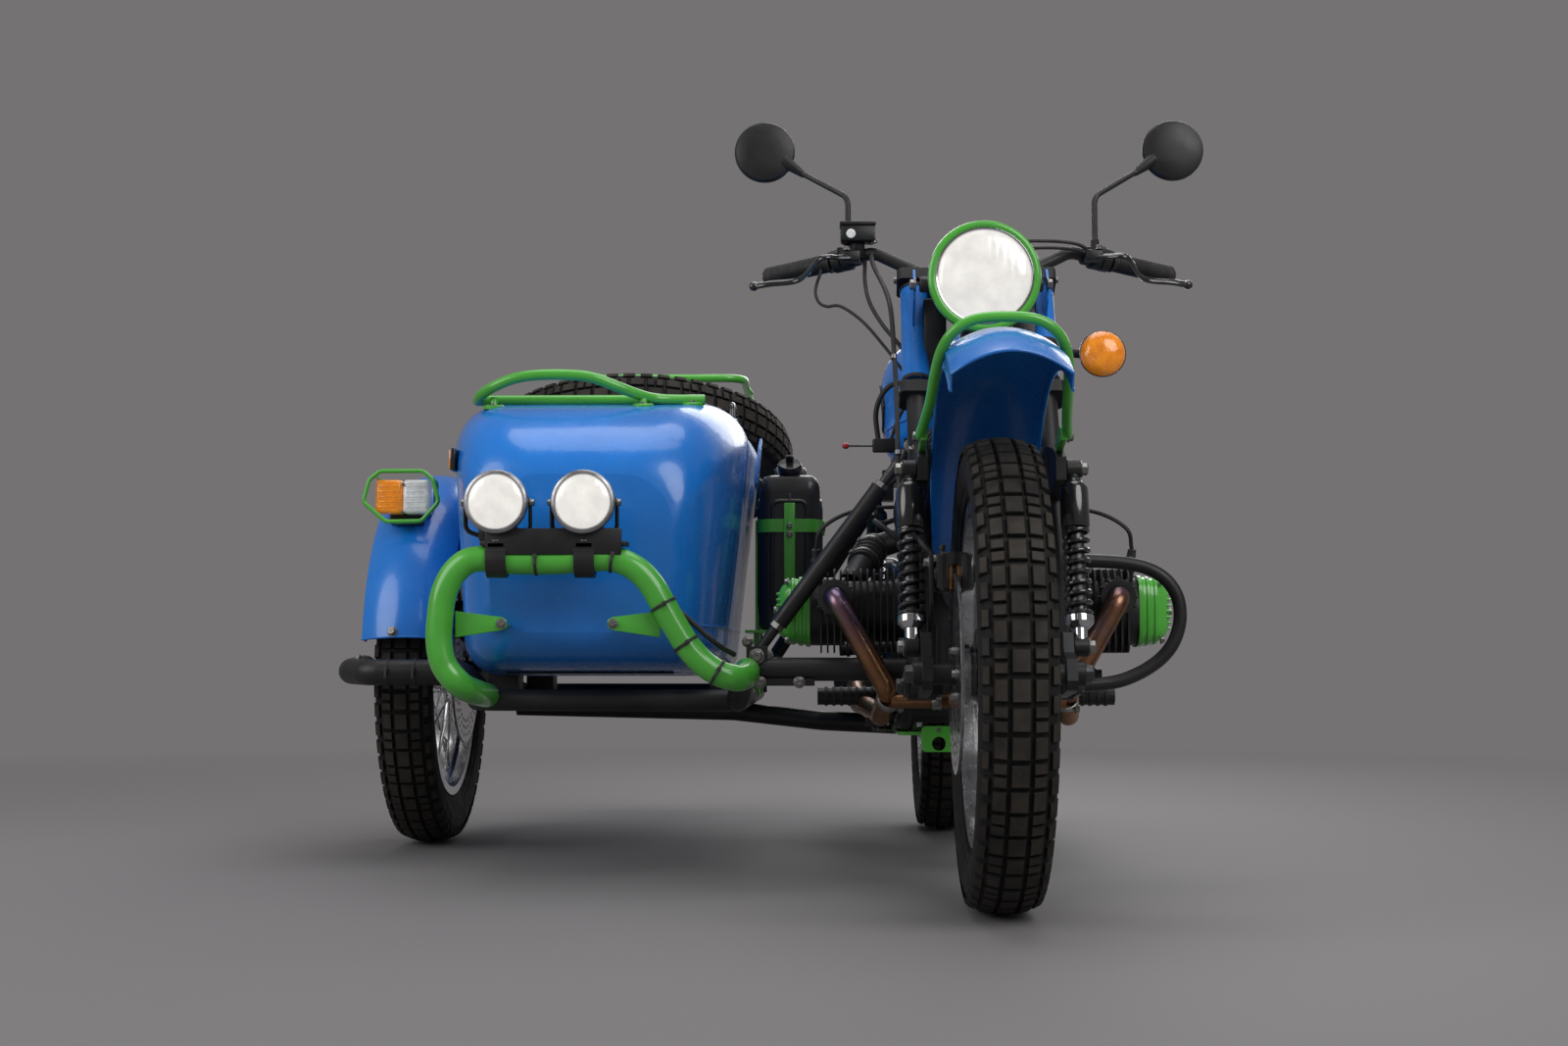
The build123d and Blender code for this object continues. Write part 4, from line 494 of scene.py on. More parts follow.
class Form:
    """Gathers the faces of one piece, in millimetres, with a finish for each."""

    def __init__(self):
        self.verts, self.faces, self.marks, self.finishes = [], [], [], []

    def put(self, verts, faces, finish):
        if finish not in self.finishes:
            self.finishes.append(finish)
        base, mark = len(self.verts), self.finishes.index(finish)
        self.verts.extend(Vector(v) for v in verts)
        self.faces.extend(tuple(base + i for i in face) for face in faces)
        self.marks.extend([mark] * len(faces))

    def lathe(self, center, along, outline, finish, steps=48, closed=False):
        """A turned shape: outline holds (distance along the axis, radius)."""
        axis, side, other = axes(along)
        rings, verts = [], []
        for distance, radius in outline:
            middle = Vector(center) + axis * distance
            count = steps if radius else 1
            rings.append(range(len(verts), len(verts) + count))
            for k in range(count):
                turn = 2 * pi * k / steps
                verts.append(middle + (side * cos(turn) + other * sin(turn)) * radius)
        faces = []
        pairs = list(zip(rings, rings[1:]))
        if closed:
            pairs.append((rings[-1], rings[0]))
        for low, high in pairs:
            for k in range(steps):
                after = (k + 1) % steps
                spots = low[k % len(low)], low[after % len(low)], high[after % len(high)], high[k % len(high)]
                face = tuple(dict.fromkeys(spots))
                if len(face) > 2:
                    faces.append(face)
        self.put(verts, faces, finish)

    def tube(self, path, radius, finish, sides=12, closed=False, flat=1):
        """A round bar along a path of points; flat squashes it across."""
        spots = [Vector(p) for p in path]
        count = len(spots)
        ways = []
        for i in range(count):
            before = spots[i - 1] if i or closed else spots[i]
            after = spots[(i + 1) % count] if i < count - 1 or closed else spots[i]
            ways.append((after - before).normalized())
        side = ways[0].orthogonal().normalized()
        verts, faces = [], []
        for spot, way in zip(spots, ways):
            side = (side - way * side.dot(way)).normalized()
            other = way.cross(side)
            for k in range(sides):
                turn = 2 * pi * k / sides
                verts.append(spot + side * cos(turn) * radius + other * sin(turn) * radius * flat)
        for i in range(count if closed else count - 1):
            j = (i + 1) % count
            for k in range(sides):
                m = (k + 1) % sides
                faces.append((i * sides + k, i * sides + m, j * sides + m, j * sides + k))
        if not closed:
            faces.append(tuple(range(sides - 1, -1, -1)))
            faces.append(tuple(range((count - 1) * sides, count * sides)))
        self.put(verts, faces, finish)

    def skin(self, rings, finish, open_ring=False, caps=True):
        """A form drawn through rings of as many places each, first to last."""
        size = len(rings[0])
        faces = [(i * size + k, i * size + (k + 1) % size, (i + 1) * size + (k + 1) % size,
                  (i + 1) * size + k) for i in range(len(rings) - 1) for k in range(size - open_ring)]
        if caps and not open_ring:
            faces += [tuple(range(size)), tuple(range((len(rings) - 1) * size, len(rings) * size))]
        self.put([spot for ring in rings for spot in ring], faces, finish)

    def box(self, center, size, finish, edge=1.5, turn=None, steps=2):
        """A block with rounded edges."""
        shell = bmesh.new()
        matrix = Matrix.Translation(Vector(center)) @ (turn.to_4x4() if turn else Matrix())
        bmesh.ops.create_cube(shell, size=1, matrix=matrix @ Matrix.Diagonal((*size, 1)))
        bmesh.ops.bevel(shell, geom=shell.edges[:], offset=edge, segments=steps, affect="EDGES", profile=0.5)
        self.take(shell, finish)

    def take(self, shell, finish):
        shell.verts.index_update()
        self.put([v.co.copy() for v in shell.verts],
                 [[v.index for v in f.verts] for f in shell.faces], finish)
        shell.free()

    def slab(self, outline, center, across, up, thick, finish, edge=1):
        """A flat plate cut to an outline of (across, up) points, with eased edges."""
        u, v = Vector(across).normalized(), Vector(up).normalized()
        w = u.cross(v)
        shell = bmesh.new()
        ring = [shell.verts.new(Vector(center) + u * a + v * b - w * thick / 2) for a, b in outline]
        face = shell.faces.new(ring)
        made = bmesh.ops.extrude_face_region(shell, geom=[face])
        moved = [g for g in made["geom"] if isinstance(g, bmesh.types.BMVert)]
        bmesh.ops.translate(shell, verts=moved, vec=w * thick)
        bmesh.ops.bevel(shell, geom=[e for e in shell.edges if e.is_manifold], offset=edge, segments=2,
                        affect="EDGES", profile=0.5, clamp_overlap=True)
        self.take(shell, finish)

    def bolt(self, place, out, across=13, finish="zinc", washer=True):
        """A hexagon head with its washer, standing on a face."""
        out = Vector(out).normalized()
        radius = across / 2 / cos(pi / 6)
        start = 0
        if washer:
            self.lathe(place, out, [(-1, 0), (-1, radius * 1.32), (1.1, radius * 1.36),
                                    (1.5, radius * 1.28), (1.5, 0)], finish, 20)
            start = 1.5
        high = across * 0.52
        self.lathe(place, out, [(start - 1, radius), (start + high * 0.82, radius),
                                (start + high, radius * 0.84), (start + high, radius * 0.3),
                                (start + high * 0.9, radius * 0.24), (start + high * 0.9, 0)], finish, 6)

    def screw(self, place, out, radius=5, finish="dark"):
        """A round socket head screw."""
        self.lathe(place, out, [(-1, radius), (radius * 0.8, radius), (radius, radius * 0.86),
                                (radius, radius * 0.52), (radius * 0.45, radius * 0.48),
                                (radius * 0.45, 0)], finish, 16)

    def band(self, center, along, radius, width, thick, finish, steps=32):
        """A strap, clamp or tie round a tube."""
        self.lathe(center, along, [(-width / 2, radius), (-width / 2 + 0.4, radius + thick),
                                   (width / 2 - 0.4, radius + thick), (width / 2, radius)],
                   finish, steps, closed=True)

    def tie(self, center, along, radius, tail=UP):
        """A cable tie with its locking head and cut tail."""
        self.band(center, along, radius, 5, 1.4, "rubber")
        axis = Vector(along).normalized()
        out = (Vector(tail) - axis * Vector(tail).dot(axis)).normalized()
        side = axis.cross(out)
        turn = Matrix((axis, side, out)).transposed()
        head = Vector(center) + out * (radius + 2.5)
        self.box(head, (7, 8, 5), "rubber", 1, turn)
        self.box(head + side * 9 + out * 2, (4.5, 14, 1.4), "rubber", 0.4, turn)

    def done(self, name, body, replaces=(), angle=34, matrix=None):
        """Makes the piece, rides it on its body and gives it its finishes."""
        mesh = bpy.data.meshes.new(name)
        if matrix is None:
            verts = [mm(*v) for v in self.verts]
        else:
            verts = [matrix @ (v / 1000) for v in self.verts]
        mesh.from_pydata(verts, [], self.faces)
        shell = bmesh.new()
        shell.from_mesh(mesh)
        bmesh.ops.recalc_face_normals(shell, faces=shell.faces[:])
        shell.to_mesh(mesh)
        shell.free()
        for finish in self.finishes:
            mesh.materials.append(MATERIALS[finish])
        mesh.polygons.foreach_set("material_index", self.marks)
        mesh.polygons.foreach_set("use_smooth", [True] * len(mesh.polygons))
        mesh.set_sharp_from_angle(angle=radians(angle))
        piece = added(name, mesh)
        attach(piece, body)
        if replaces:
            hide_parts(*replaces)
        return piece


def added(name, data):
    """A new object, in the scene."""
    made = bpy.data.objects.new(name, data)
    bpy.context.scene.collection.objects.link(made)
    return made


def settings():
    scene = bpy.context.scene
    return (scene.sidecar_finish, scene.sidecar_tread, scene.sidecar_seat, scene.sidecar_studio)


class Piece:
    """What every operator of the object shares"""
    bl_options = {"REGISTER", "UNDO"}


# --- finishes of the nodes that stay ---
class SIDECAR_OT_finishes(Piece, bpy.types.Operator):
    """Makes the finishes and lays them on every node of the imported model"""
    bl_idname = "sidecar.finishes"
    bl_label = "Finishes"

    def execute(self, context):
        make_materials(settings()[0])
        for row in frame["record"]["subparts"]:
            node = NODES[row["node"]]
            finish = MATERIALS[FINISH_OF_NODE.get(row["node"], FINISHES_OF_SLOT[row["material_slot"]][0])]
            if not node.data.materials:
                node.data.materials.append(finish)
            for slot in node.material_slots:
                slot.link = "OBJECT"
                slot.material = finish
        return {"FINISHED"}


FINISH_OF_NODE = {"fork_shrouds": "blue", "cylinders": "casting", "rear_swingarm": "black"}


# --- tyres and wheels ---
# carcass outline: x, radius
CARCASS = ((-37.8, 243), (-38, 256), (-40.5, 258.5), (-43, 264), (-45.2, 266), (-48, 276), (-49.2, 276.4),
           (-52, 287), (-53.6, 297), (-53.6, 306), (-52.8, 315), (-53.2, 316.5), (-51, 323), (-48, 330.5),
           (-43, 336), (-32, 339.8), (-16, 342.2), (0, 342.8))
# tread columns: x from, x to, blocks in each pitch by turn, share of its room that a block fills,
# shift of the column by share of a pitch
COLUMNS = (
    (-12.2, 12.2, (1, 1), 0.8, 0),
    (18, 36, (1, 2), 0.76, 0),
    (-36, -18, (1, 2), 0.76, 0),
    (41.5, 51.8, (1, 1), 0.64, 0.5),
    (-51.8, -41.5, (1, 1), 0.64, 0.5),
)


def crown(x):
    """Radius of the tread's running face at a place across it."""
    return TYRE_R - 0.4 - 13.5 * (abs(x) / 52) ** 2.3


def treaded_tyre(name, node, body, center, along):
    """A road and trail tyre: carcass with its mould lines, and five columns of blocks."""
    tread = settings()[1]
    form = Form()
    outline = [(x, r) for x, r in CARCASS] + [(-x, r) for x, r in reversed(CARCASS[:-1])]
    form.lathe((0, 0, 0), LEFT, outline, "tyre", 120)
    deep = tread.depth * 1000
    pitch = 2 * pi / tread.pitches
    for x0, x1, counts, share, shift in COLUMNS:
        for step in range(tread.pitches):
            blocks = counts[step % 2]
            room = pitch / blocks
            long = room * share
            for k in range(blocks):
                middle = (step + shift) * pitch + (k + 0.5) * room
                add_block(form, x0, x1, middle - long / 2, middle + long / 2, deep)
    form.lathe((0, 0, 0), LEFT, [(-43.6, 262), (-44.8, 263), (-43.6, 264.4)], "tyre", 96)
    return form.done(name, body, (node,), 30, Matrix.Translation(mm(*center)) @ wheel_turn(along))


def add_block(form, x0, x1, a0, a1, deep):
    """One tread block: drafted sides, an eased edge and a running face that is scuffed."""
    cuts = 2 if a1 - a0 < 0.09 else 3
    rings = []
    for inset, drop, grow in ((0, deep + 1.5, 1.4), (0, 1.1, 0), (1.1, 0, 0)):
        start, stop = a0 + (inset - grow) / TYRE_R, a1 - (inset - grow) / TYRE_R
        angles = [start + (stop - start) * k / (cuts - 1) for k in range(cuts)]
        rings.append([(x, (crown(x) - drop) * cos(angle), (crown(x) - drop) * sin(angle))
                      for x, order in ((x0 - grow + inset, angles), (x1 + grow - inset, angles[::-1]))
                      for angle in order])
    form.skin(rings, "tyre", caps=False)
    form.put(rings[-1], [tuple(range(2 * cuts))], "tread")


SPARE_CENTER = on_deck(0, 1586, 84)
# each wheel: its stem, body, middle, direction of its axle and the side of its brake disc
WHEELS = (
    ("front", "front_wheel_body", (0, 0, TYRE_R), LEFT, -1),
    ("rear", "rear_wheel_body", (0, WHEELBASE, TYRE_R), LEFT, 1),
    ("sidecar", "sidecar_wheel_body", (-1060, 1160, TYRE_R), LEFT, 1),
    ("spare", TRUNK, SPARE_CENTER, DECK_UP, 0),
)


def wheel_turn(along):
    """Turns a wheel made about X to its place: upright, or lying on the deck."""
    if along == LEFT:
        return Matrix()
    return Matrix((DECK_UP, (0, -DECK_UP.z, DECK_UP.y), LEFT)).transposed().to_4x4()


class SIDECAR_OT_tyres(Piece, bpy.types.Operator):
    """Makes the four treaded tyres"""
    bl_idname = "sidecar.tyres"
    bl_label = "Tyres"

    def execute(self, context):
        for stem, body, center, along, _ in WHEELS:
            treaded_tyre(f"{stem}_tyre_treaded", f"{stem}_tyre", body, center, along)
        return {"FINISHED"}


def make_wheel_trim():
    for stem, body, center, along, disc in WHEELS:
        form = Form()
        for side in SIDES:
            for lean in SIDES:
                for step in range(10):
                    hub = radians(step * 36 + 9 * side + 4.5 * lean)
                    rim = hub + radians(lean * 34)
                    foot = at(side * (30 + lean), 61 * cos(hub), 61 * sin(hub))
                    tip = at(side * 7, 226.3 * cos(rim), 226.3 * sin(rim))
                    way = (foot - tip).normalized()
                    form.lathe(tip, way, [(-1, 4.6), (1.5, 4.6), (3, 3.6), (15, 3.4), (17, 2.6)],
                               "chrome", 10)
                    form.lathe(foot, -way, [(-4, 3.8), (0, 3.8), (2, 2.4)], "chrome", 8)
        # rim lips, hub grooves and dust caps
        for side in SIDES:
            form.lathe((side * 41.2, 0, 0), (side, 0, 0),
                       [(-3, 252.4), (0.2, 252), (0.9, 254), (0.4, 255.4), (-3, 255.6)], "chrome", 120)
            if not disc or side != disc:
                form.lathe((side * 50, 0, 0), (side, 0, 0), [(-2, 30), (1, 29), (3, 22), (3.5, 15.4)],
                           "dark", 40)
        for x in (-16, -8, 0, 8, 16):
            form.lathe((x, 0, 0), LEFT, [(-1.4, 45.8), (-1, 47.4), (1, 47.4), (1.4, 45.8)], "alloy", 56)
        valve = radians(78)
        top = at(10, 226 * cos(valve), 226 * sin(valve))
        form.lathe(top, -at(0, cos(valve), sin(valve)),
                   [(-2, 6), (2, 6), (4, 3.2), (26, 3), (27, 4.2), (36, 4), (37, 0)], "dark", 12)
        if disc:
            face = disc * 65.5
            # painted shade in the disc's holes: thin near-black dots on both faces where the drilled holes are
            for step in range(36):
                for radius, shift in ((104, 0), (118, 0.33), (133, 0.66)):
                    turn = 2 * pi * (step + shift) / 36
                    for x, out in ((face, disc), (face - disc * 5, -disc)):
                        form.lathe((x, radius * cos(turn), radius * sin(turn)), (out, 0, 0),
                                   [(-0.3, 3.6), (0.15, 3.6), (0.15, 0)], "dial_and_hole_shade", 10)
            for step in range(6):
                turn = 2 * pi * step / 6
                form.bolt((face, 38.5 * cos(turn), 38.5 * sin(turn)), (disc, 0, 0), 10)
        form.done(f"{stem}_wheel_trim", body, (), 34, Matrix.Translation(mm(*center)) @ wheel_turn(along))


class SIDECAR_OT_wheel_trim(Piece, bpy.types.Operator):
    """Makes the nipples, valves, painted shade of the disc holes, and bolts of the wheels"""
    bl_idname = "sidecar.wheel_trim"
    bl_label = "Wheel trim"

    def execute(self, context):
        make_wheel_trim()
        return {"FINISHED"}


# --- front end ---
LEG_X, LEG_AHEAD = 106, 45
HEAD_LOW, HEAD_HIGH, YOKE_T = 797.5, 979.5, 22
LEG_TOP = HEAD_HIGH + 0.5 + YOKE_T + 6
STEER_AXIS = at(0, sin(RAKE), cos(RAKE))


def coil_shock(form, x, foot, top, mount_x, body_d, cover_share, coils, wire):
    """A damper with a wound spring, an upper cover, rubber eyes and their bolts."""
    low, high = Vector((x, *foot)), Vector((x, *top))
    way = (high - low).normalized()
    size = (high - low).length
    outer = body_d / 2
    for spot in (low, high):
        form.lathe(spot, LEFT, [(-11, 6), (-11, 13), (-10, 15), (10, 15), (11, 13), (11, 6)], "black", 28)
        form.lathe(spot, LEFT, [(-12, 5), (-12.4, 10), (12.4, 10), (12, 5)], "rubber", 24)
        reach = -1 if mount_x > x else 1
        form.lathe((mount_x, spot.y, spot.z), (reach, 0, 0), [(0, 7), (abs(x - mount_x) + 12, 7)], "zinc", 16)
        form.bolt((x + reach * 12.4, spot.y, spot.z), (reach, 0, 0), 17)
    start, stop = 0.17 * size, cover_share * size
    form.lathe(low, way, [(10, outer * 0.4), (10, outer * 0.52), (0.1 * size, outer * 0.52),
                          (0.1 * size, outer * 0.66), (0.13 * size, outer), (0.165 * size, outer),
                          (0.17 * size, outer - 3), (0.17 * size, outer * 0.5)], "chrome", 40)
    form.lathe(low, way, [(0.16 * size, outer * 0.56), (0.8 * size, outer * 0.56)], "dark", 28)
    _, side, other = axes(way)
    turns = coils + 1.6
    path = []
    count = int(turns * 18)
    radius = outer - wire - 0.3
    for k in range(count + 1):
        t = k / count
        # the end turns lie closed
        climb = min(1, max(0, (t * turns - 0.8) / (turns - 1.6)))
        along = start + wire + (stop - start - 2 * wire) * climb
        turn = 2 * pi * turns * t
        path.append(low + way * along + (side * cos(turn) + other * sin(turn)) * radius)
    form.tube(path, wire, "gloss", 10)
    form.lathe(low, way, [(stop, outer * 0.5), (stop, outer - 2), (stop + 3, outer),
                          (0.88 * size, outer), (0.9 * size, outer - 2), (0.92 * size, outer * 0.62),
                          (0.94 * size, outer * 0.5), (size - 10, outer * 0.44)], "gloss", 40)


class SIDECAR_OT_shocks(Piece, bpy.types.Operator):
    """Makes the sprung dampers of the front, rear and sidecar wheels"""
    bl_idname = "sidecar.shocks"
    bl_label = "Shocks"

    def execute(self, context):
        form = Form()
        for side in SIDES:
            coil_shock(form, side * 126, (40, 390), (110, 664), side * 114, 44, 0.66, 8, 3.6)
        form.done("front_coil_shocks", FORK, ("front_shocks",))
        form = Form()
        for side in SIDES:
            coil_shock(form, side * 142, (1470, 392), (1390, 728), side * 130, 46, 0.62, 9, 4)
        coil_shock(form, -982, (1345, 352), (1370, 584), -960, 38, 0.62, 8, 3.4)
        form.done("rear_coil_shocks", CHASSIS, ("rear_shocks",))
        return {"FINISHED"}


LAMP_Z, LAMP_FACE_Y, LAMP_R = 984, 200, 91


def make_headlamp():
    form = Form()
    face, back = (0, LAMP_FACE_Y, LAMP_Z), BACK
    form.lathe(face, back, [(19, 60), (19, LAMP_R - 4), (24, LAMP_R - 3), (60, LAMP_R - 8),
                            (84, LAMP_R - 18), (102, LAMP_R - 34), (114, LAMP_R - 56),
                            (121, 16), (123, 0)], "gloss", 96)
    form.lathe(face, back, [(1.5, LAMP_R - 12), (0, LAMP_R - 9), (0.5, LAMP_R - 5), (3.5, LAMP_R - 1.2),
                            (9, LAMP_R), (17, LAMP_R), (19.5, LAMP_R - 1.5), (20, LAMP_R - 5)], "green", 120)
    form.lathe(face, back, [(5, LAMP_R - 17), (1.6, LAMP_R - 15.5), (1, LAMP_R - 13), (3, LAMP_R - 11)],
               "chrome", 120)
    form.lathe(face, back, [(4.5, LAMP_R - 16.5), (1, LAMP_R - 20), (-2.4, LAMP_R - 34),
                            (-4.6, 34), (-5.4, 14), (-5.4, 0)], "lit", 96)
    # screw of the ring, pivot bolts and the loom's grommet
    form.screw((0, LAMP_FACE_Y + 13, LAMP_Z - LAMP_R), DOWN, 3.5, "zinc")
    for side in SIDES:
        form.lathe((side * 68, 278, LAMP_Z), (side, 0, 0), [(0, 13), (30, 13), (33, 11)], "black", 24)
        form.bolt((side * 108, 278, LAMP_Z), (side, 0, 0), 15)
    form.lathe((0, 318, LAMP_Z - 24), (0, 0.9, -0.3), [(0, 14), (6, 14), (12, 8)], "rubber", 20)
    form.done("headlamp_glazed", FORK, ("headlamp",))


class SIDECAR_OT_headlamp(Piece, bpy.types.Operator):
    """Makes the headlamp: shell, painted ring, bright bezel and fluted lens"""
    bl_idname = "sidecar.headlamp"
    bl_label = "Headlamp"

    def execute(self, context):
        make_headlamp()
        return {"FINISHED"}


BAR_END, BAR_KNEE = at(355, 560, 1052), at(170, 478, 1078)
GRIP_WAY = (BAR_END - BAR_KNEE).normalized()


def along_grip(share, side=1):
    spot = BAR_KNEE + (BAR_END - BAR_KNEE) * share
    return at(side * spot.x, spot.y, spot.z)


def around(count, radius, first=0):
    """Pairs of places spread evenly round a circle."""
    turns = [first + 2 * pi * k / count for k in range(count)]
    return [(radius * cos(turn), radius * sin(turn)) for turn in turns]


def sided(vector, side):
    return at(side * vector[0], vector[1], vector[2])


def make_bar_controls():
    form = Form()
    for side in SIDES:
        way = sided(GRIP_WAY, side)
        start = along_grip(0.4, side)
        size = (along_grip(1, side) - start).length + 5
        outline = [(0, 11.4), (0, 18.5), (4, 18.5), (6, 16.2)]
        ring = 10
        while ring < size - 12:
            outline += [(ring, 16.6), (ring + 1, 15.2), (ring + 2.2, 15.2), (ring + 3.2, 16.6)]
            ring += 4.4
        outline += [(size - 8, 17), (size - 3, 16.6), (size, 13.5), (size, 8)]
        form.lathe(start, way, outline, "rubber", 40)
        form.lathe(start + way * size, way, [(-1, 9), (0, 11.5), (3, 11.5), (4.5, 9), (4.5, 0)],
                   "dark", 28)
        # switch housing, split along its middle
        pod = along_grip(0.29, side)
        for out in SIDES:
            form.lathe(pod + way * (out * 9), way, [(-8.6, 12), (-8.6, 19), (-7, 20.6), (7, 20.6),
                                                    (8.6, 19), (8.6, 12)], "black", 36)
        form.box(pod + at(0, -4, 15), (22, 16, 12), "black", 3)
        form.box(pod + at(0, -15, 12), (13, 5, 7), "rubber", 1.5)
        form.lathe(pod + at(side * 4, 14, -12), (0, 0.6, -0.8), [(0, 5), (5, 5), (6, 4), (6, 0)],
                   "red_paint" if side < 0 else "rubber", 16)
        # clamp and perch of the lever
        perch = along_grip(0.18, side)
        form.band(perch, way, 11.4, 20, 5, "black", 32)
        form.box(perch + at(side * 6, -26, -5), (30, 34, 19), "black", 4)
        form.screw(perch + at(side * 2, -16, 10), (0, -0.3, 1), 4)
        form.bolt(perch + at(side * 14, -38, 5), UP, 10)
        # dogleg lever with its ball
        spots = [perch + at(side * 10, -38, -8), perch + at(side * 30, -46, -10),
                 perch + at(side * 60, -58, -14), at(side * 300, 500, 1036),
                 at(side * 352, 508, 1030), at(side * 381, 518, 1027)]
        form.tube(flowing(spots, 6), 6.4, "gloss", 14, flat=0.62)
        form.lathe(spots[-1], (side, 0.25, 0), [(-8.5, 0), (-6.5, 5.4), (-2.5, 8), (2.5, 8),
                                                (6.5, 5.4), (8.5, 0)], "gloss", 24)
    # brake reservoir on the right bar
    spot = along_grip(0.1, -1)
    tank = at(-(along_grip(0.1).x + 10), spot.y - 18, spot.z + 32)
    form.box(tank, (60, 42, 28), "black", 5)
    form.box(tank + at(0, 0, 17), (63, 45, 7), "black", 2.5)
    for side in SIDES:
        form.screw(tank + at(side * 23, 0, 20), UP, 4, "zinc")
    # sight window of the reservoir; its faint glow is painted light, as it is no lamp
    form.lathe(tank + at(-12, -21, -2), AHEAD, [(0, 8), (1.5, 8), (2.5, 6.6), (2.5, 0)], "clear", 24)
    form.lathe(tank + at(0, 8, -14), (0, 0.1, -1), [(0, 13), (18, 12), (24, 10)], "black", 28)
    form.band(tank + at(26, 2, -10), (0.3, 0, -1), 5, 10, 3, "zinc")
    form.done("bar_levers_and_grips", FORK, ("bar_controls",))


class SIDECAR_OT_bar_controls(Piece, bpy.types.Operator):
    """Makes the grips, levers, switches, brake reservoir and bar-end weights"""
    bl_idname = "sidecar.bar_controls"
    bl_label = "Bar controls"

    def execute(self, context):
        make_bar_controls()
        return {"FINISHED"}


def make_mirrors():
    form = Form()
    for side in SIDES:
        base = along_grip(0.2)
        foot = at(side * (base.x + 8), base.y - 8, base.z + 8)
        spots = [foot, foot + at(0, 1, 30), at(side * (base.x + 8), base.y - 6, 1178),
                 at(side * 296, 535, 1233), at(side * 330, 541, 1256)]
        form.tube(rounded(spots, 26), 5, "black", 14)
        form.lathe(foot, (0, 0.03, 1), [(-6, 9), (6, 9), (8, 7.5), (20, 7), (22, 5)], "black", 6)
        neck = at(side * 34, 6, 26).normalized()
        form.lathe((side * 294, 535, 1231), neck, [(-3, 0), (-3, 5.4), (0, 6), (34, 11.5), (44, 11.5),
                                                   (48, 0)], "black", 28)
        face = at(side * 362, 548, 1273)
        form.lathe(face, AHEAD, [(0.5, 49), (-1.6, 50.5), (-1.8, 53), (0, 54), (6, 54), (12, 51),
                                      (15, 43), (17.5, 30), (18.6, 14), (18.8, 0)], "black", 72)
        form.lathe(face, BACK, [(-0.5, 49.4), (0.4, 49), (0.8, 25), (0.9, 0)], "mirror", 64)
    form.done("mirrors_glazed", FORK, ("mirrors",))


class SIDECAR_OT_mirrors(Piece, bpy.types.Operator):
    """Makes the round mirrors with domed backs and their glass"""
    bl_idname = "sidecar.mirrors"
    bl_label = "Mirrors"

    def execute(self, context):
        make_mirrors()
        return {"FINISHED"}


def brake_caliper(form, x, y, z, lean, inner):
    """A four-piston caliper over the disc's edge: body halves, bridge, pads, pins and hose bolt."""
    turn = Matrix.Rotation(lean, 3, "X")
    spot = at(x, y, z)

    def near(a, b, c):
        return spot + turn @ at(a, b, c)
    for out in SIDES:
        form.box(near(out * 19, 0, 0), (19, 66, 54), "gloss", 5, turn)
        for dy in (-16, 16):
            form.lathe(near(out * 28, dy, -2), turn @ at(out, 0, 0),
                       [(0, 15), (2.5, 15), (3.6, 13.6), (3.6, 9), (2.4, 8), (2.4, 0)], "gloss", 32)
    for dy in (-25, 25):
        form.box(near(0, dy, 20), (44, 13, 20), "gloss", 4, turn)
        form.bolt(near(27.5 * inner, dy, 19), turn @ at(inner, 0, 0), 9, "zinc", False)
    for out in SIDES:
        form.box(near(out * 6.3, 0, -3), (5, 46, 46), "brass", 1.2, turn)
        form.box(near(out * 9.6, 0, 4), (1.8, 50, 44), "dark", 0.6, turn)
    form.lathe(near(-26, 0, 19), turn @ Vector(LEFT), [(0, 3), (52, 3)], "zinc", 12)
    form.lathe(near(inner * 28, 8, 22), turn @ Vector(UP), [(0, 8), (5, 8), (6.5, 6.5)], "zinc", 6)
    form.lathe(near(inner * 18, -20, 27), turn @ Vector(UP), [(0, 4), (7, 4), (8, 5), (13, 5), (14, 3)],
               "rubber", 14)


def make_brakes():
    form = Form()
    brake_caliper(form, -63, 42, 500, radians(-4), -1)
    form.slab([(-34, 58), (34, 58), (38, 20), (48, -40), (44, -94), (22, -100), (4, -60), (-34, -20)],
              (-98, 46, 474), BACK, UP, 6, "black", 1.2)
    for y, z in ((30, 516), (66, 516), (80, 384)):
        form.bolt((-101, y, z), RIGHT, 12)
    form.done("front_caliper_cast", FORK, ("front_caliper",))
    form = Form()
    brake_caliper(form, 63, WHEELBASE - 96, 452, radians(40), 1)
    form.slab([(-52, 56), (20, 44), (34, -10), (26, -70), (-6, -72), (-24, -12), (-56, 20)],
              (88, WHEELBASE - 84, 436), BACK, UP, 6, "black", 1.2)
    brake_caliper(form, -997, 1052, 448, radians(42), 1)
    form.slab([(-40, 34), (24, 34), (40, -60), (20, -92), (-6, -86), (-12, -30), (-40, 0)],
              (-963, 1054, 440), BACK, UP, 6, "black", 1.2)
    # lug that ties the rear bracket to the swingarm
    form.slab([(-40, 8), (-30, 34), (34, 34), (40, 8), (30, -14), (-30, -14)],
              (97, WHEELBASE - 84, 352), BACK, UP, 14, "black", 2)
    form.bolt((105, WHEELBASE - 84, 366), LEFT, 13)
    for x, y, z in ((91, 1386, 470), (91, 1424, 470), (-960, 1032, 458), (-960, 1066, 458)):
        form.bolt((x, y, z), LEFT, 11)
    form.done("rear_calipers_cast", CHASSIS, ("brake_calipers",))


class SIDECAR_OT_brakes(Piece, bpy.types.Operator):
    """Makes the brake calipers with their pads and brackets"""
    bl_idname = "sidecar.brakes"
    bl_label = "Brakes"

    def execute(self, context):
        make_brakes()
        return {"FINISHED"}


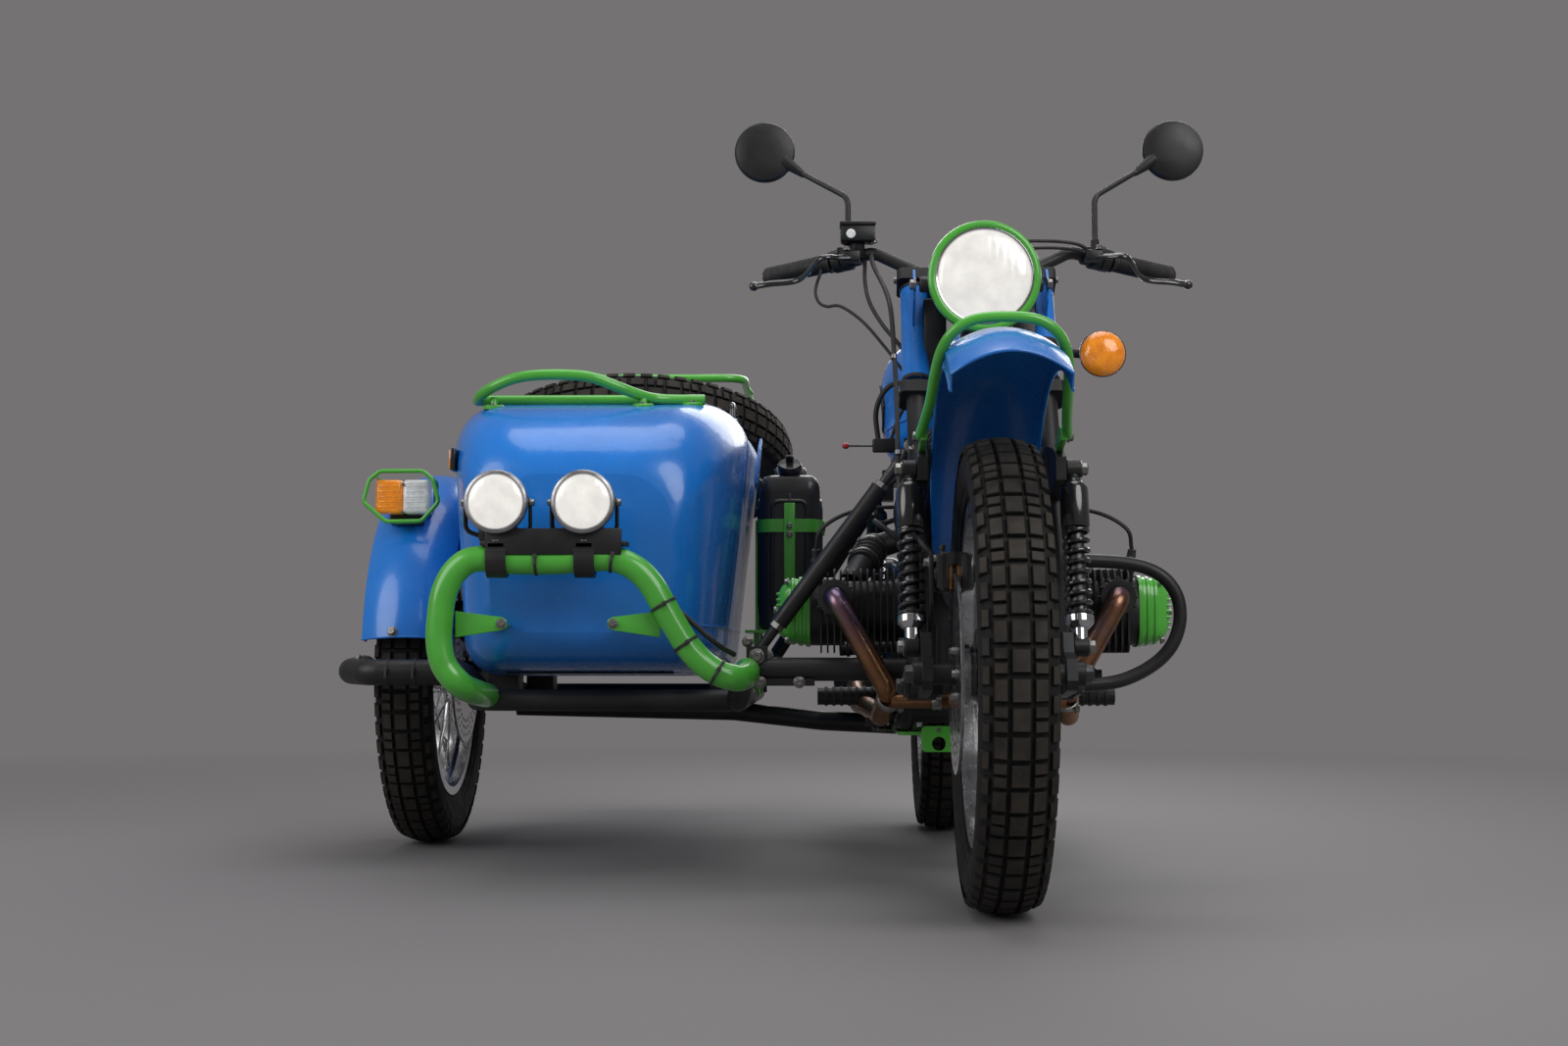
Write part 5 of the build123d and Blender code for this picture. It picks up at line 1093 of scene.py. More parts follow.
class SIDECAR_OT_turn_signal(Piece, bpy.types.Operator):
    """Makes the round amber turn signal on its stalk"""
    bl_idname = "sidecar.turn_signal"
    bl_label = "Turn signal"

    def execute(self, context):
        form = Form()
        spot = (197, 280, 869)
        form.lathe(spot, AHEAD, [(-36, 0), (-36, 14), (-30, 24), (-18, 34), (-2, 38), (0, 37)], "gloss", 56)
        form.lathe(spot, AHEAD, [(-1, 37.6), (0, 38.2), (2.5, 38.2), (3.2, 37)], "gloss", 56)
        form.lathe(spot, AHEAD, [(1, 36.8), (6, 36.4), (12, 34), (18, 28), (22, 18), (24, 8), (24.2, 0)],
                   "amber", 56)
        start, stop = at(197, 300, 869), steered(LEG_X, LEG_AHEAD, 862)
        way = (stop - start).normalized()
        form.lathe(start, way, [(0, 8), (12, 7.4), ((stop - start).length - 20, 7),
                                ((stop - start).length, 7.4)], "rubber", 20)
        form.band(stop, STEER_AXIS, 23.2, 22, 3, "black")
        form.done("turn_signal_lens", FORK, ("turn_signal",))
        return {"FINISHED"}


LAMP_HUB = at(0, 322, LAMP_Z - 30)
# lines and hoses of the fork, as places along them and their radius
CABLES = (
    # clutch, throttle, brake and switch lines, to the lamp's shell and the steering head
    (((206, 462, 1074), (176, 446, 1086), (120, 432, 1088), (60, 404, 1078), (20, 360, 1040), LAMP_HUB), 3),
    (((200, 470, 1070), (170, 456, 1078), (116, 442, 1078), (56, 412, 1066), (10, 364, 1030), LAMP_HUB), 2.8),
    (((-262, 500, 1052), (-272, 490, 1015), (-266, 470, 990), (-252, 455, 980), (-228, 440, 977),
      (-190, 425, 947), (-150, 410, 897), (-124, 400, 860), (-80, 410, 810)), 2.8),
    (((-186, 470, 1062), (-186, 462, 1022), (-178, 450, 984), (-156, 430, 942), (-126, 412, 902),
      (-90, 412, 850)), 3.6),
    # hose from the reservoir to the caliper
    (((-176, 462, 1072), (-172, 410, 1040), (-150, 300, 960), (-143, 262, 860), (-140, 232, 760),
      (-140, 190, 660), (-134, 120, 590), (-112, 62, 550), (-91, 50, 526)), 4),
    # loom on the left leg
    (((60, 330, 930), (84, 330, 860), (100, 316, 760), (128, 250, 640), (130, 206, 560),
      (128, 186, 480), (130, 168, 400)), 3.2),
)


def make_front_trim():
    form = Form()
    # stem nut, leg caps and pinch bolts of the yokes
    form.lathe(steered(0, 0, LEG_TOP - 2), STEER_AXIS, [(0, 17), (4, 17), (5, 15)], "zinc", 6)
    for side in SIDES:
        form.lathe(steered(side * LEG_X, LEG_AHEAD, LEG_TOP), STEER_AXIS,
                   [(-1, 14), (3, 14), (4.5, 12), (4.5, 0)], "zinc", 6)
        for height in (HEAD_LOW - 12, HEAD_HIGH + 12):
            spot = steered(side * (LEG_X + 28), LEG_AHEAD + 2, height)
            form.screw(spot, (side, 0, 0), 5.5, "zinc")
        # clamps of the bar
        spot = steered(side * 46, -6, LEG_TOP + 24)
        form.band(spot - at(0, 4, 0), LEFT, 11.3, 30, 6, "black", 36)
        for dy in (-14, 14):
            form.screw(spot + at(0, dy - 4, 12), (0, 0.1, 1), 4.2, "zinc")
        # leading link pivots, axle nuts, damper lugs
        form.bolt((side * (LEG_X + 29.2), 160, 331), (side, 0, 0), 19, "dark")
        form.bolt((side * (LEG_X + 20), 0, TYRE_R), (side, 0, 0), 24, "dark")
        form.bolt((side * (LEG_X + 29), 113, 336), (side, 0, 0), 12, "dark", False)
        for y, z in ((74, 711), (232, 706)):
            form.bolt((side * (LEG_X + 8.5), y, z), (side, 0, 0), 13)
        for height, width in ((806, 7), (972, 6)):
            form.band(steered(side * LEG_X, LEG_AHEAD, height), STEER_AXIS, 23.2, width, 1.2, "black", 40)
    fender_beads(form, (0, -40, 415), 440, 85, 26, 12, 121)
    # gauge: rim, dial, marks and needle
    low = steered(0, 34, LEG_TOP + 62)
    form.lathe(low, STEER_AXIS, [(-6, 42.4), (-6, 44), (1, 44.5), (3.4, 43), (3.6, 39), (1.2, 38)],
               "chrome", 64)
    form.lathe(low, STEER_AXIS, [(0.6, 39), (0.9, 20), (0.9, 0)], "dial_and_hole_shade", 56)
    axis, side_way, other = axes(STEER_AXIS)
    for k in range(21):
        turn = radians(-130 + 13 * k)
        way = side_way * cos(turn) + other * sin(turn)
        cross = axis.cross(way)
        matrix = Matrix((way, cross, axis)).transposed()
        form.box(low + axis * 1.3 + way * 33, (5 if k % 2 else 8, 1.2, 0.5), "plate", 0.1, matrix)
    form.box(low + axis * 1.9 + side_way * 10, (30, 1.6, 0.8), "red_paint", 0.2,
             Matrix((side_way, axis.cross(side_way), axis)).transposed())
    form.lathe(low, STEER_AXIS, [(1, 4), (2.6, 4), (3, 2.5), (3, 0)], "rubber", 16)
    # brackets that carry the headlamp between the legs
    for side in SIDES:
        form.box((side * 74, 330, 884), (38, 40, 168), "black", 5)
    form.done("front_end_trim", FORK)
    cables = Form()
    for points, radius in CABLES:
        cables.tube(flowing(points, 10), radius, "rubber", 10)
    for x, y, z in ((-144, 262, 862), (-140, 208, 700)):
        cables.band((x, y, z), (0.05, 0.35, 1), 4.2, 8, 1.2, "zinc", 20)
    cables.done("control_cables", FORK)


class SIDECAR_OT_front_trim(Piece, bpy.types.Operator):
    """Makes the bolts, caps, gauge, fender lip and lines of the front end"""
    bl_idname = "sidecar.front_trim"
    bl_label = "Front trim"

    def execute(self, context):
        make_front_trim()
        return {"FINISHED"}


# --- motorcycle ---
def make_tank_trim():
    form = Form()
    cap = (0, 600, 958)
    form.lathe(cap, (0, -0.02, 1), [(-6, 34), (-2, 34), (-1, 31), (0, 31)], "chrome", 56)
    form.lathe(cap, (0, -0.02, 1), [(-1, 28.5), (7, 28.5), (9.5, 26.5), (10.4, 20), (10.8, 8), (10.8, 0)],
               "gloss", 56)
    form.box((0, 600, 970), (44, 8, 4), "gloss", 1.6)
    shell = surface_of("fuel_tank")
    for side in SIDES:
        # knee pads, laid on the tank's side
        rows = []
        for i in range(15):
            u = i / 14
            y = 640 + 190 * u
            half = 38 * (1 - abs(2 * u - 1) ** 3.5) + 4
            rows.append([(y, 834 + half * (2 * j / 10 - 1)) for j in range(11)])
        pad = []
        for row in rows:
            hits = [across(shell, side, y, z) for y, z in row]
            pad.append([(hit + side * 2.6 if hit else side * 140, y, z) for hit, (y, z) in zip(hits, row)])
        form.skin(pad, "rubber", open_ring=True)
        edge = [row[0] for row in pad] + [row[-1] for row in reversed(pad)]
        form.tube([(v[0] - side * 1, v[1], v[2]) for v in edge], 2.4, "rubber", 8, closed=True)
        # pressed seam along the lower edge
        seam(form, [(across(shell, side, 500 + 12 * k, 782 + 14 * (k / 17.5 - 1) ** 2), 500 + 12 * k,
                     782 + 14 * (k / 17.5 - 1) ** 2) for k in range(36)], 2.4, "blue")
    form.lathe((58, 880, 790), DOWN, [(0, 8), (10, 8), (12, 11), (24, 11), (26, 8), (34, 8)], "zinc", 20)
    form.done("tank_cap_and_pads", CHASSIS)


class SIDECAR_OT_tank_trim(Piece, bpy.types.Operator):
    """Makes the tank's cap, knee pads, seam and tap"""
    bl_idname = "sidecar.tank_trim"
    bl_label = "Tank trim"

    def execute(self, context):
        make_tank_trim()
        return {"FINISHED"}


def surface_of(node):
    """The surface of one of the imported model's nodes, in the model's frame."""
    mesh = NODES[node].data
    return BVHTree.FromPolygons([v.co for v in mesh.vertices], [tuple(p.vertices) for p in mesh.polygons])


def met(tree, place, way):
    """Where a line from a place first meets a surface, in millimetres, and its normal there."""
    hit, out = tree.ray_cast(mm(*place), Vector(way))[:2]
    if hit is None:
        return None, None
    return at((hit.x - AXLE.x) * 1000, (hit.y - AXLE.y) * 1000, hit.z * 1000), out


def across(tree, side, y, z, start=600):
    """How far out a surface reaches at (y, z), in millimetres from the centre line."""
    spot = met(tree, (side * start, y, z), (-side, 0, 0))[0]
    return spot.x if spot else None


def down(tree, x, y, start=1400):
    """How high a surface stands at (x, y), in millimetres."""
    spot = met(tree, (x, y, start), DOWN)[0]
    return spot.z if spot else None


def seam(form, spots, radius, finish, sides=8):
    """A fine line through the places where its surface was met."""
    path = [spot for spot in spots if None not in spot]
    if len(path) > 3:
        form.tube(path, radius, finish, sides)


def fender_beads(form, middle, radius, half, skirt, first, last):
    """Rolled edges along a fender's sides and across its ends."""
    x0, y0, z0 = middle
    low = radius - half * 0.42 - skirt + 1.2
    turns = [radians(first + (last - first) * k / 60) for k in range(61)]
    for side in SIDES:
        form.tube([(x0 + side * (half - 0.8), y0 + low * cos(a), z0 + low * sin(a)) for a in turns],
                  2.6, "blue", 8)
    for a in (turns[0], turns[-1]):
        ends = []
        for k in range(25):
            share = (k / 12 - 1) * (half - 1) / half
            r = radius - 0.42 * half * share ** 2 - 1.2
            ends.append((x0 + half * share, y0 + r * cos(a), z0 + r * sin(a)))
        form.tube(ends, 2.4, "blue", 8)


# --- seats ---
def padded_seat(name, node, sections, lean=0):
    """A seat pad: a crowned form lofted through sections of (place, half width, thickness)."""
    form = Form()
    rings = []
    for (x, y, z), half, thick in sections:
        rings.append([at(x + a, y - b * sin(lean), z + b * cos(lean)) for a, b in oval(half, thick / 2)])
    form.skin(rings, "vinyl")
    piece = form.done(name, CHASSIS, (node,), 60)
    fill_padding(piece, settings()[2], bool(lean))
    smooth = piece.modifiers.new("Smooth", "SUBSURF")
    smooth.levels = smooth.render_levels = 1
    flatten(piece)
    return piece


def flatten(piece):
    """Applies every modifier of a piece to its mesh."""
    bpy.context.view_layer.update()
    graph = bpy.context.evaluated_depsgraph_get()
    made = bpy.data.meshes.new_from_object(piece.evaluated_get(graph))
    old = piece.data
    piece.modifiers.clear()
    piece.data = made
    made.name = piece.name
    bpy.data.meshes.remove(old)
    piece.data.polygons.foreach_set("use_smooth", [True] * len(piece.data.polygons))


def fill_padding(piece, seat, upright):
    """Fills the cover by cloth simulation; no point moves further than the swell."""
    scene = bpy.context.scene
    remesh = piece.modifiers.new("Remesh", "REMESH")
    remesh.mode = "VOXEL"
    remesh.voxel_size = seat.voxel
    flatten(piece)
    before = [v.co.copy() for v in piece.data.vertices]
    cloth = piece.modifiers.new("Padding", "CLOTH")
    cloth.settings.use_pressure = True
    cloth.settings.uniform_pressure_force = seat.pressure
    cloth.settings.effector_weights.gravity = 0
    cloth.settings.tension_stiffness = 20
    cloth.settings.compression_stiffness = 20
    cloth.settings.bending_stiffness = 1.5
    cloth.point_cache.frame_start, cloth.point_cache.frame_end = 1, 20
    for step in range(1, 21):
        scene.frame_set(step)
    flatten(piece)
    scene.frame_set(1)
    low, back = min(v.z for v in before), max(v.y for v in before)
    for v, old in zip(piece.data.vertices, before):
        move = v.co - old
        if move.length > seat.swell:
            move = move.normalized() * seat.swell
        # the side that lies on the seat's box or the bulkhead stays on it
        carried = back - old.y if upright else old.z - low
        v.co = old + move * min(1, max(0, carried / 0.02))
        if upright:
            v.co.y = min(v.co.y, back)
        else:
            v.co.z = max(v.co.z, low)


# sections of the pads: place along the pad, half width, thickness
# rider's bench, from the tank to the tail
BENCH = ((952, 78, 44), (975, 92, 54), (1040, 110, 58), (1120, 122, 60), (1210, 124, 62), (1262, 120, 72),
         (1300, 118, 78), (1400, 117, 78), (1500, 114, 76), (1545, 108, 68), (1562, 98, 54))
# sidecar cushion on its box
CUSHION = ((898, 168, 52), (912, 184, 70), (950, 192, 80), (1050, 194, 84), (1150, 193, 80),
           (1200, 188, 74), (1219, 176, 60))
# backrest against the bulkhead, from its foot to its top
BACKREST = ((548, 160, 44), (562, 182, 56), (600, 192, 60), (680, 193, 58), (760, 190, 56),
            (796, 180, 50), (811, 160, 38))


def make_seats():
    bench = padded_seat("rider_bench_padded", "bike_seat",
                        [((0, y, 783.5 + high / 2), half, high - 6) for y, half, high in BENCH])
    top = BVHTree.FromObject(bench, bpy.context.evaluated_depsgraph_get())
    form = Form()
    for y in (1020, 1075, 1130, 1185, 1330, 1385, 1440, 1495):
        seam(form, [(6 * k - 84, y, down(top, 6 * k - 84, y)) for k in range(29)], 1.5, "vinyl", 6)
    form.lathe((0, 1578, 815), BACK, [(-6, 0), (-6, 5), (0, 6), (2, 5), (2, 0)], "zinc", 16)
    strap = []
    for k in range(33):
        turn = pi * k / 32
        x = 118 * cos(turn)
        z = down(top, x * 0.97, 1266) if abs(x) < 112 else None
        strap.append((x * 1.03, 1266, (z + 1.5) if z else 812 + 30 * sin(turn)))
    form.tube(strap, 1.8, "vinyl", 8)
    form.done("bench_seams_and_strap", CHASSIS)
    cushion = padded_seat("sidecar_cushion_padded", "sidecar_seat",
                          [((SIDECAR_X, y, 440.6 + high / 2), half, high - 4) for y, half, high in CUSHION])
    back = padded_seat("sidecar_backrest", "sidecar_seat",
                       [((SIDECAR_X, 1292.5 - thick / 2, z), half, thick - 6)
                        for z, half, thick in BACKREST], pi / 2)
    form = Form()
    graph = bpy.context.evaluated_depsgraph_get()
    tops, fronts = BVHTree.FromObject(cushion, graph), BVHTree.FromObject(back, graph)
    for x in (-120, -60, 0, 60, 120):
        x += SIDECAR_X
        seam(form, [(x, 925 + 11.25 * k, down(tops, x, 925 + 11.25 * k, 700)) for k in range(25)],
             1.6, "vinyl", 6)
        spots = []
        for z in range(575, 791, 9):
            spot = met(fronts, (x, 1000, z), BACK)[0]
            spots.append((x, spot.y if spot else None, z))
        seam(form, spots, 1.6, "vinyl", 6)
    form.done("sidecar_seat_channels", CHASSIS)


class SIDECAR_OT_seats(Piece, bpy.types.Operator):
    """Makes the rider's bench and the sidecar's cushion and backrest, with their seams and strap"""
    bl_idname = "sidecar.seats"
    bl_label = "Seats"

    def execute(self, context):
        make_seats()
        return {"FINISHED"}


# --- engine ---
class SIDECAR_OT_valve_covers(Piece, bpy.types.Operator):
    """Makes the domed valve covers with their steps and fins"""
    bl_idname = "sidecar.valve_covers"
    bl_label = "Valve covers"

    def execute(self, context):
        form = Form()
        for side in SIDES:
            rings = []
            for out, half_y, half_z in COVER_STEPS:
                rings.append([(side * (282 + out), 525 + a, 455 + b)
                              for a, b in oval(half_y, half_z, 0.55, 56)])
            form.skin(rings, "green")
            for step in range(-3, 4):
                reach = 46 - 1.6 * step * step
                form.box((side * 331, 525, 455 + step * 10), (20, 2 * reach - 12, 4.4), "green", 2)
        form.done("valve_covers_finned", CHASSIS, ("valve_covers",))
        return {"FINISHED"}


# valve cover outline: out from the cylinder, half depth, half height
COVER_STEPS = ((0, 56, 62), (6, 56, 62), (7.5, 53, 59), (13, 52.5, 58.5), (14.5, 54.5, 60.5),
               (19, 54, 60), (20.5, 51, 57), (26, 50.5, 56.5), (27.5, 52.5, 58.5), (32, 52, 58),
               (33.5, 48.5, 54.5), (42, 45, 51), (50, 37, 43), (55, 27, 33), (57.5, 14, 20))


# looms beside the steering head and over the engine
LOOMS = (
    (((-52, 400, 790), (-86, 412, 740), (-118, 430, 690), (-128, 470, 640), (-100, 520, 610)), 5),
    (((-40, 404, 800), (-92, 392, 720), (-134, 400, 640), (-132, 440, 590), (-112, 480, 566)), 3.4),
    (((46, 404, 800), (78, 420, 720), (96, 440, 640), (104, 470, 590)), 4.2),
)


def make_engine_trim():
    form = Form()
    # front belt cover with its ribs and screws
    form.box((0, 463, 424), (196, 12, 240), "casting", 5)
    for x in (-66, -44, -22, 0, 22, 44, 66):
        form.box((x, 455, 372), (5, 6, 116), "casting", 1.5)
    form.lathe((0, 452, 500), AHEAD, [(-4, 62), (4, 61), (8, 56), (10, 48), (10, 40), (6, 36), (6, 0)],
               "casting", 64)
    for x, z in around(8, 53, pi / 8):
        form.screw((x, 446, 500 + z), AHEAD, 3.6)
    for x, z in ((-90, 534), (90, 534), (-90, 430), (90, 430), (-90, 314), (90, 314), (0, 312)):
        form.screw((x, 457, z), AHEAD, 4.6)
    # seams and bolts down the crankcase's sides, sump ribs under it
    for side in SIDES:
        form.box((side * 112.4, 578, 340), (3, 214, 3), "casting", 0.8)
        for y in (486, 560, 620, 676):
            form.screw((side * 112, y, 352), (side, 0, 0), 4.4)
        form.lathe((side * 112, 640, 430), (side, 0, 0), [(-2, 26), (5, 25), (7, 21), (7, 0)], "casting", 40)
        form.screw((side * 119, 640, 430), (side, 0, 0), 7)
        for step in range(6):
            form.box((side * (20 + 15 * step), 575, 284.5), (4, 190, 9), "casting", 1.2)
        # starter housing and gearbox bolts
        for y, z in ((720, 330), (860, 330), (720, 530)):
            form.screw((side * 88, y, z), (side, 0, 0), 5)
    form.lathe((84, 540, 560), BACK, [(0, 0), (0, 22), (6, 26), (70, 26), (76, 20)], "casting", 40)
    # cylinders: studs, plug caps and cover bolts
    for side in SIDES:
        for dy, dz in ((-44, 52), (44, 52), (-44, -52), (44, -52)):
            form.lathe((side * 128, 525 + dy, 455 + dz), (side, 0, 0), [(-10, 7), (2, 7)], "zinc", 12)
        form.lathe((side * 268, 497, 520), (side * 0.1, -0.35, 0.9),
                   [(-10, 9), (4, 9), (6, 11), (26, 11), (30, 8), (44, 7), (46, 0)], "rubber", 24)
        for dy, dz in ((-44, -50), (-44, 50), (44, -50), (44, 50)):
            form.bolt((side * 320, 525 + dy, 455 + dz), (side, 0, 0), 9)
        form.lathe((side * 345, 525, 455), (side, 0, 0), [(-6, 9), (0, 9), (1, 7.4), (1, 0)], "zinc", 24)
        # boots and clamps of the inlet
        way = at(side * -22, 78, 35).normalized()
        for share, radius, width, thick, finish in (
                (0.15, 27.6, 9, 1.6, "zinc"), (0.85, 27.6, 9, 1.6, "zinc"), (0.3, 26.6, 5, 3, "rubber"),
                (0.5, 26.6, 5, 3, "rubber"), (0.7, 26.6, 5, 3, "rubber")):
            spot = at(side * 190, 612, 540).lerp(at(side * 168, 690, 575), share)
            form.band(spot, way, radius, width, thick, finish)
            if finish == "zinc":
                form.screw(spot + at(side * 22, -12, 18), (side, -0.3, 0.6), 4, "zinc")
        # finned nut at the exhaust port, clamp and guard at the bend
        port = (side * 240, 430, 477)
        form.lathe(port, BACK, [(-8, 19), (-8, 30), (16, 30), (18, 27), (18, 19)], "casting", 48)
        for k in range(12):
            turn = radians(30 * k)
            spot = Vector(port) + at(30 * cos(turn), 4, 30 * sin(turn))
            form.box(spot, (9, 22, 3.4), "casting", 1, Matrix.Rotation(-turn, 3, "Y"))
        form.band((side * 148, 412, 305), (side * 0.05, 0.9, -0.35), 18.2, 16, 2.4, "steel")
        form.bolt((side * 148 + 16, 410, 288), LEFT, 10)
        form.band((side * 190, 780, 293), (0, 1, 0.05), 18.6, 24, 2.6, "steel")
    for x in (-70, 70):
        form.band((x, 398, 302), LEFT, 12.2, 16, 2.4, "steel")
        form.bolt((x, 384, 300), AHEAD, 9)
    form.done("engine_castings_and_nuts", CHASSIS)
    lines = Form()
    # plug leads, breathers, and throttle lines at the bodies
    for side in SIDES:
        for points, radius, sides in (
                (((272, 482, 562), (262, 474, 596), (214, 500, 626), (140, 560, 640), (60, 600, 636)), 3.6,
                 10),
                (((112, 470, 560), (146, 462, 590), (168, 520, 612), (150, 620, 616), (92, 690, 640)), 5, 10),
                (((176, 676, 604), (172, 640, 650), (120, 560, 700), (60, 470, 742)), 2.6, 8)):
            lines.tube(flowing([sided(spot, side) for spot in points], 10), radius, "rubber", sides)
    for points, radius in LOOMS:
        lines.tube(flowing(points, 10), radius, "rubber", 10)
    lines.done("engine_leads_and_hoses", CHASSIS)


class SIDECAR_OT_engine_trim(Piece, bpy.types.Operator):
    """Makes the engine's front cover, sump ribs, cylinder nuts, plug caps, boots and exhaust nuts"""
    bl_idname = "sidecar.engine_trim"
    bl_label = "Engine trim"

    def execute(self, context):
        make_engine_trim()
        return {"FINISHED"}


def make_tail():
    form = Form()
    form.box((0, 1908, 590), (58, 36, 62), "black", 8)
    form.box((0, 1874, 575), (36, 56, 26), "black", 4)
    form.lathe((0, 1920, 596), BACK, [(0, 20), (2, 36), (10, 37), (12, 35.4)], "gloss", 64)
    form.lathe((0, 1930, 596), BACK, [(0, 35.2), (6, 34), (10, 26), (12, 12), (12, 0)], "red", 64)
    form.box((0, 1912, 520), (26, 8, 108), "black", 2)
    corners = []
    for (x, z), start in zip(((82, 52), (-82, 52), (-82, -52), (82, -52)), (0, 90, 180, 270)):
        for k in range(7):
            turn = radians(start + 15 * k)
            corners.append((x + 8 * cos(turn), z + 8 * sin(turn)))
    form.slab(corners, (0, 1921, 480), RIGHT, UP, 3.2, "plate", 0.5)
    rim = [(-x * 0.965, 1923.2, 480 + z * 0.95) for x, z in corners]
    form.tube(rim, 1, "plate", 8, closed=True)
    for side in SIDES:
        form.bolt((side * 70, 1922.4, 510), BACK, 10)
        form.lathe((side * 26, 1908, 590), (side, 0, 0), [(0, 8), (12, 7), (56, 6.5), (62, 8)], "rubber", 20)
        spot = (side * 96, 1892, 590)
        form.lathe(spot, BACK, [(0, 0), (0, 14), (6, 24), (14, 29.5), (24, 30), (26, 29)], "gloss", 48)
        form.lathe(spot, BACK, [(25, 29), (32, 28), (38, 20), (41, 10), (41.5, 0)], "amber", 48)
    form.done("tail_lamp_and_plate", CHASSIS, ("tail_lamp",))


class SIDECAR_OT_tail(Piece, bpy.types.Operator):
    """Makes the tail lamp, the rear turn signals and the blank number plate"""
    bl_idname = "sidecar.tail"
    bl_label = "Tail lamp and plate"

    def execute(self, context):
        make_tail()
        return {"FINISHED"}


# bolts of the frames: x, y, z, the way out, across flats
FRAME_BOLTS = (
    (-376, 446, 377, AHEAD, 13), (-354, 446, 377, AHEAD, 13),
    (-300, 428, 333, AHEAD, 13), (-366, 428, 333, AHEAD, 13),
    (-104, 423, 735, AHEAD, 13), (115, 1045, 330, LEFT, 24), (-115, 1045, 330, RIGHT, 24),
    (-388, 444, 402, AHEAD, 13),
    (-865, 760, 342, RIGHT, 13), (-865, 1240, 342, RIGHT, 13),
    (-62, 474, 252, AHEAD, 9),
    (136, 1500, 350, LEFT, 24), (-1126, 1160, 350, RIGHT, 24),
)


def make_frame_trim():
    form = Form()
    for x, y, z, out, size in FRAME_BOLTS:
        form.bolt((x, y, z), out, size)
    # strut ends: threaded eye, lock nut and pin
    for end, foot in ((at(-110, 440, 735), at(-372, 446, 383)), (at(-115, 1300, 760), at(-400, 1400, 324))):
        way = (foot - end).normalized()
        size = (foot - end).length
        outline = [(12, 8.6)]
        mark = 14
        while mark < 0.2 * size:
            outline += [(mark, 9.4), (mark + 1, 8.4)]
            mark += 2
        form.lathe(end, way, outline, "zinc", 20)
        form.lathe(end + way * (0.2 * size - 9), way, [(0, 13), (9, 13)], "zinc", 6)
        form.lathe(end + way * (0.86 * size), way, [(0, 13), (9, 13)], "zinc", 6)
        form.bolt(end + at(0, -13, 0), AHEAD, 15)
        form.bolt(foot + at(0, -15, -6), AHEAD, 17)
        form.lathe(end + way * 0.2 * size, way, [(0, 15.2), (3, 15.6), (6, 15.2)], "black", 28)
    # choke lever on its block
    form.box((-152, 470, 740), (44, 18, 24), "black", 3)
    form.lathe((-172, 466, 739), RIGHT, [(0, 1.8), (46, 1.8)], "dark", 14)
    form.lathe((-172, 466, 739), RIGHT, [(43, 0), (43, 3), (45, 5), (49, 5.6), (53, 4), (55, 0)],
               "red_paint", 20)
    for points, radius in ((((-164, 470, 750), (-168, 468, 794), (-158, 462, 826), (-138, 452, 844),
                             (-104, 444, 846)), 4.6),
                           (((-142, 470, 750), (-132, 468, 780), (-118, 462, 806), (-96, 452, 824)), 3.4)):
        form.tube(flowing(points), radius, "rubber", 10)
    # pedal treads and peg rubbers
    for side in SIDES:
        for k in range(7):
            form.band((side * (170 + 14 * k), 700, 305), LEFT, 15.8, 6, 2, "rubber", 28)
        for k in range(5):
            form.band((side * (128 + 20 * k), 1120 + 2 * k, 400 - 2 * k), LEFT, 12.8, 7, 2, "rubber", 24)
    for k in range(5):
        form.band((158 + 15 * k, 588, 346), LEFT, 9.8, 7, 2, "rubber", 20)
    fender_beads(form, (0, WHEELBASE, 350), 418, 78, 34, 6, 158)
    fender_beads(form, (-1049, 1160, 360), 392, 83, 30, 8, 172)
    for y, z in ((790, 372), (1530, 380)):
        form.bolt((-1132, y, z), RIGHT, 12)
    form.done("frame_bolts_and_beads", CHASSIS)


class SIDECAR_OT_frame_trim(Piece, bpy.types.Operator):
    """Makes the bolts, strut ends, choke lever and fender beads of the chassis"""
    bl_idname = "sidecar.frame_trim"
    bl_label = "Frame trim"

    def execute(self, context):
        make_frame_trim()
        return {"FINISHED"}


# --- sidecar ---
def loop_on(tree, outline, lift, corner):
    """An outline of (x, y) places, rounded and laid on a surface from above."""
    path = rounded([(x, y, 0) for x, y in outline], corner, 10, closed=True)
    laid = []
    for spot in path:
        z = down(tree, spot.x, spot.y)
        if z:
            laid.append(at(spot.x, spot.y, z + lift))
    return laid


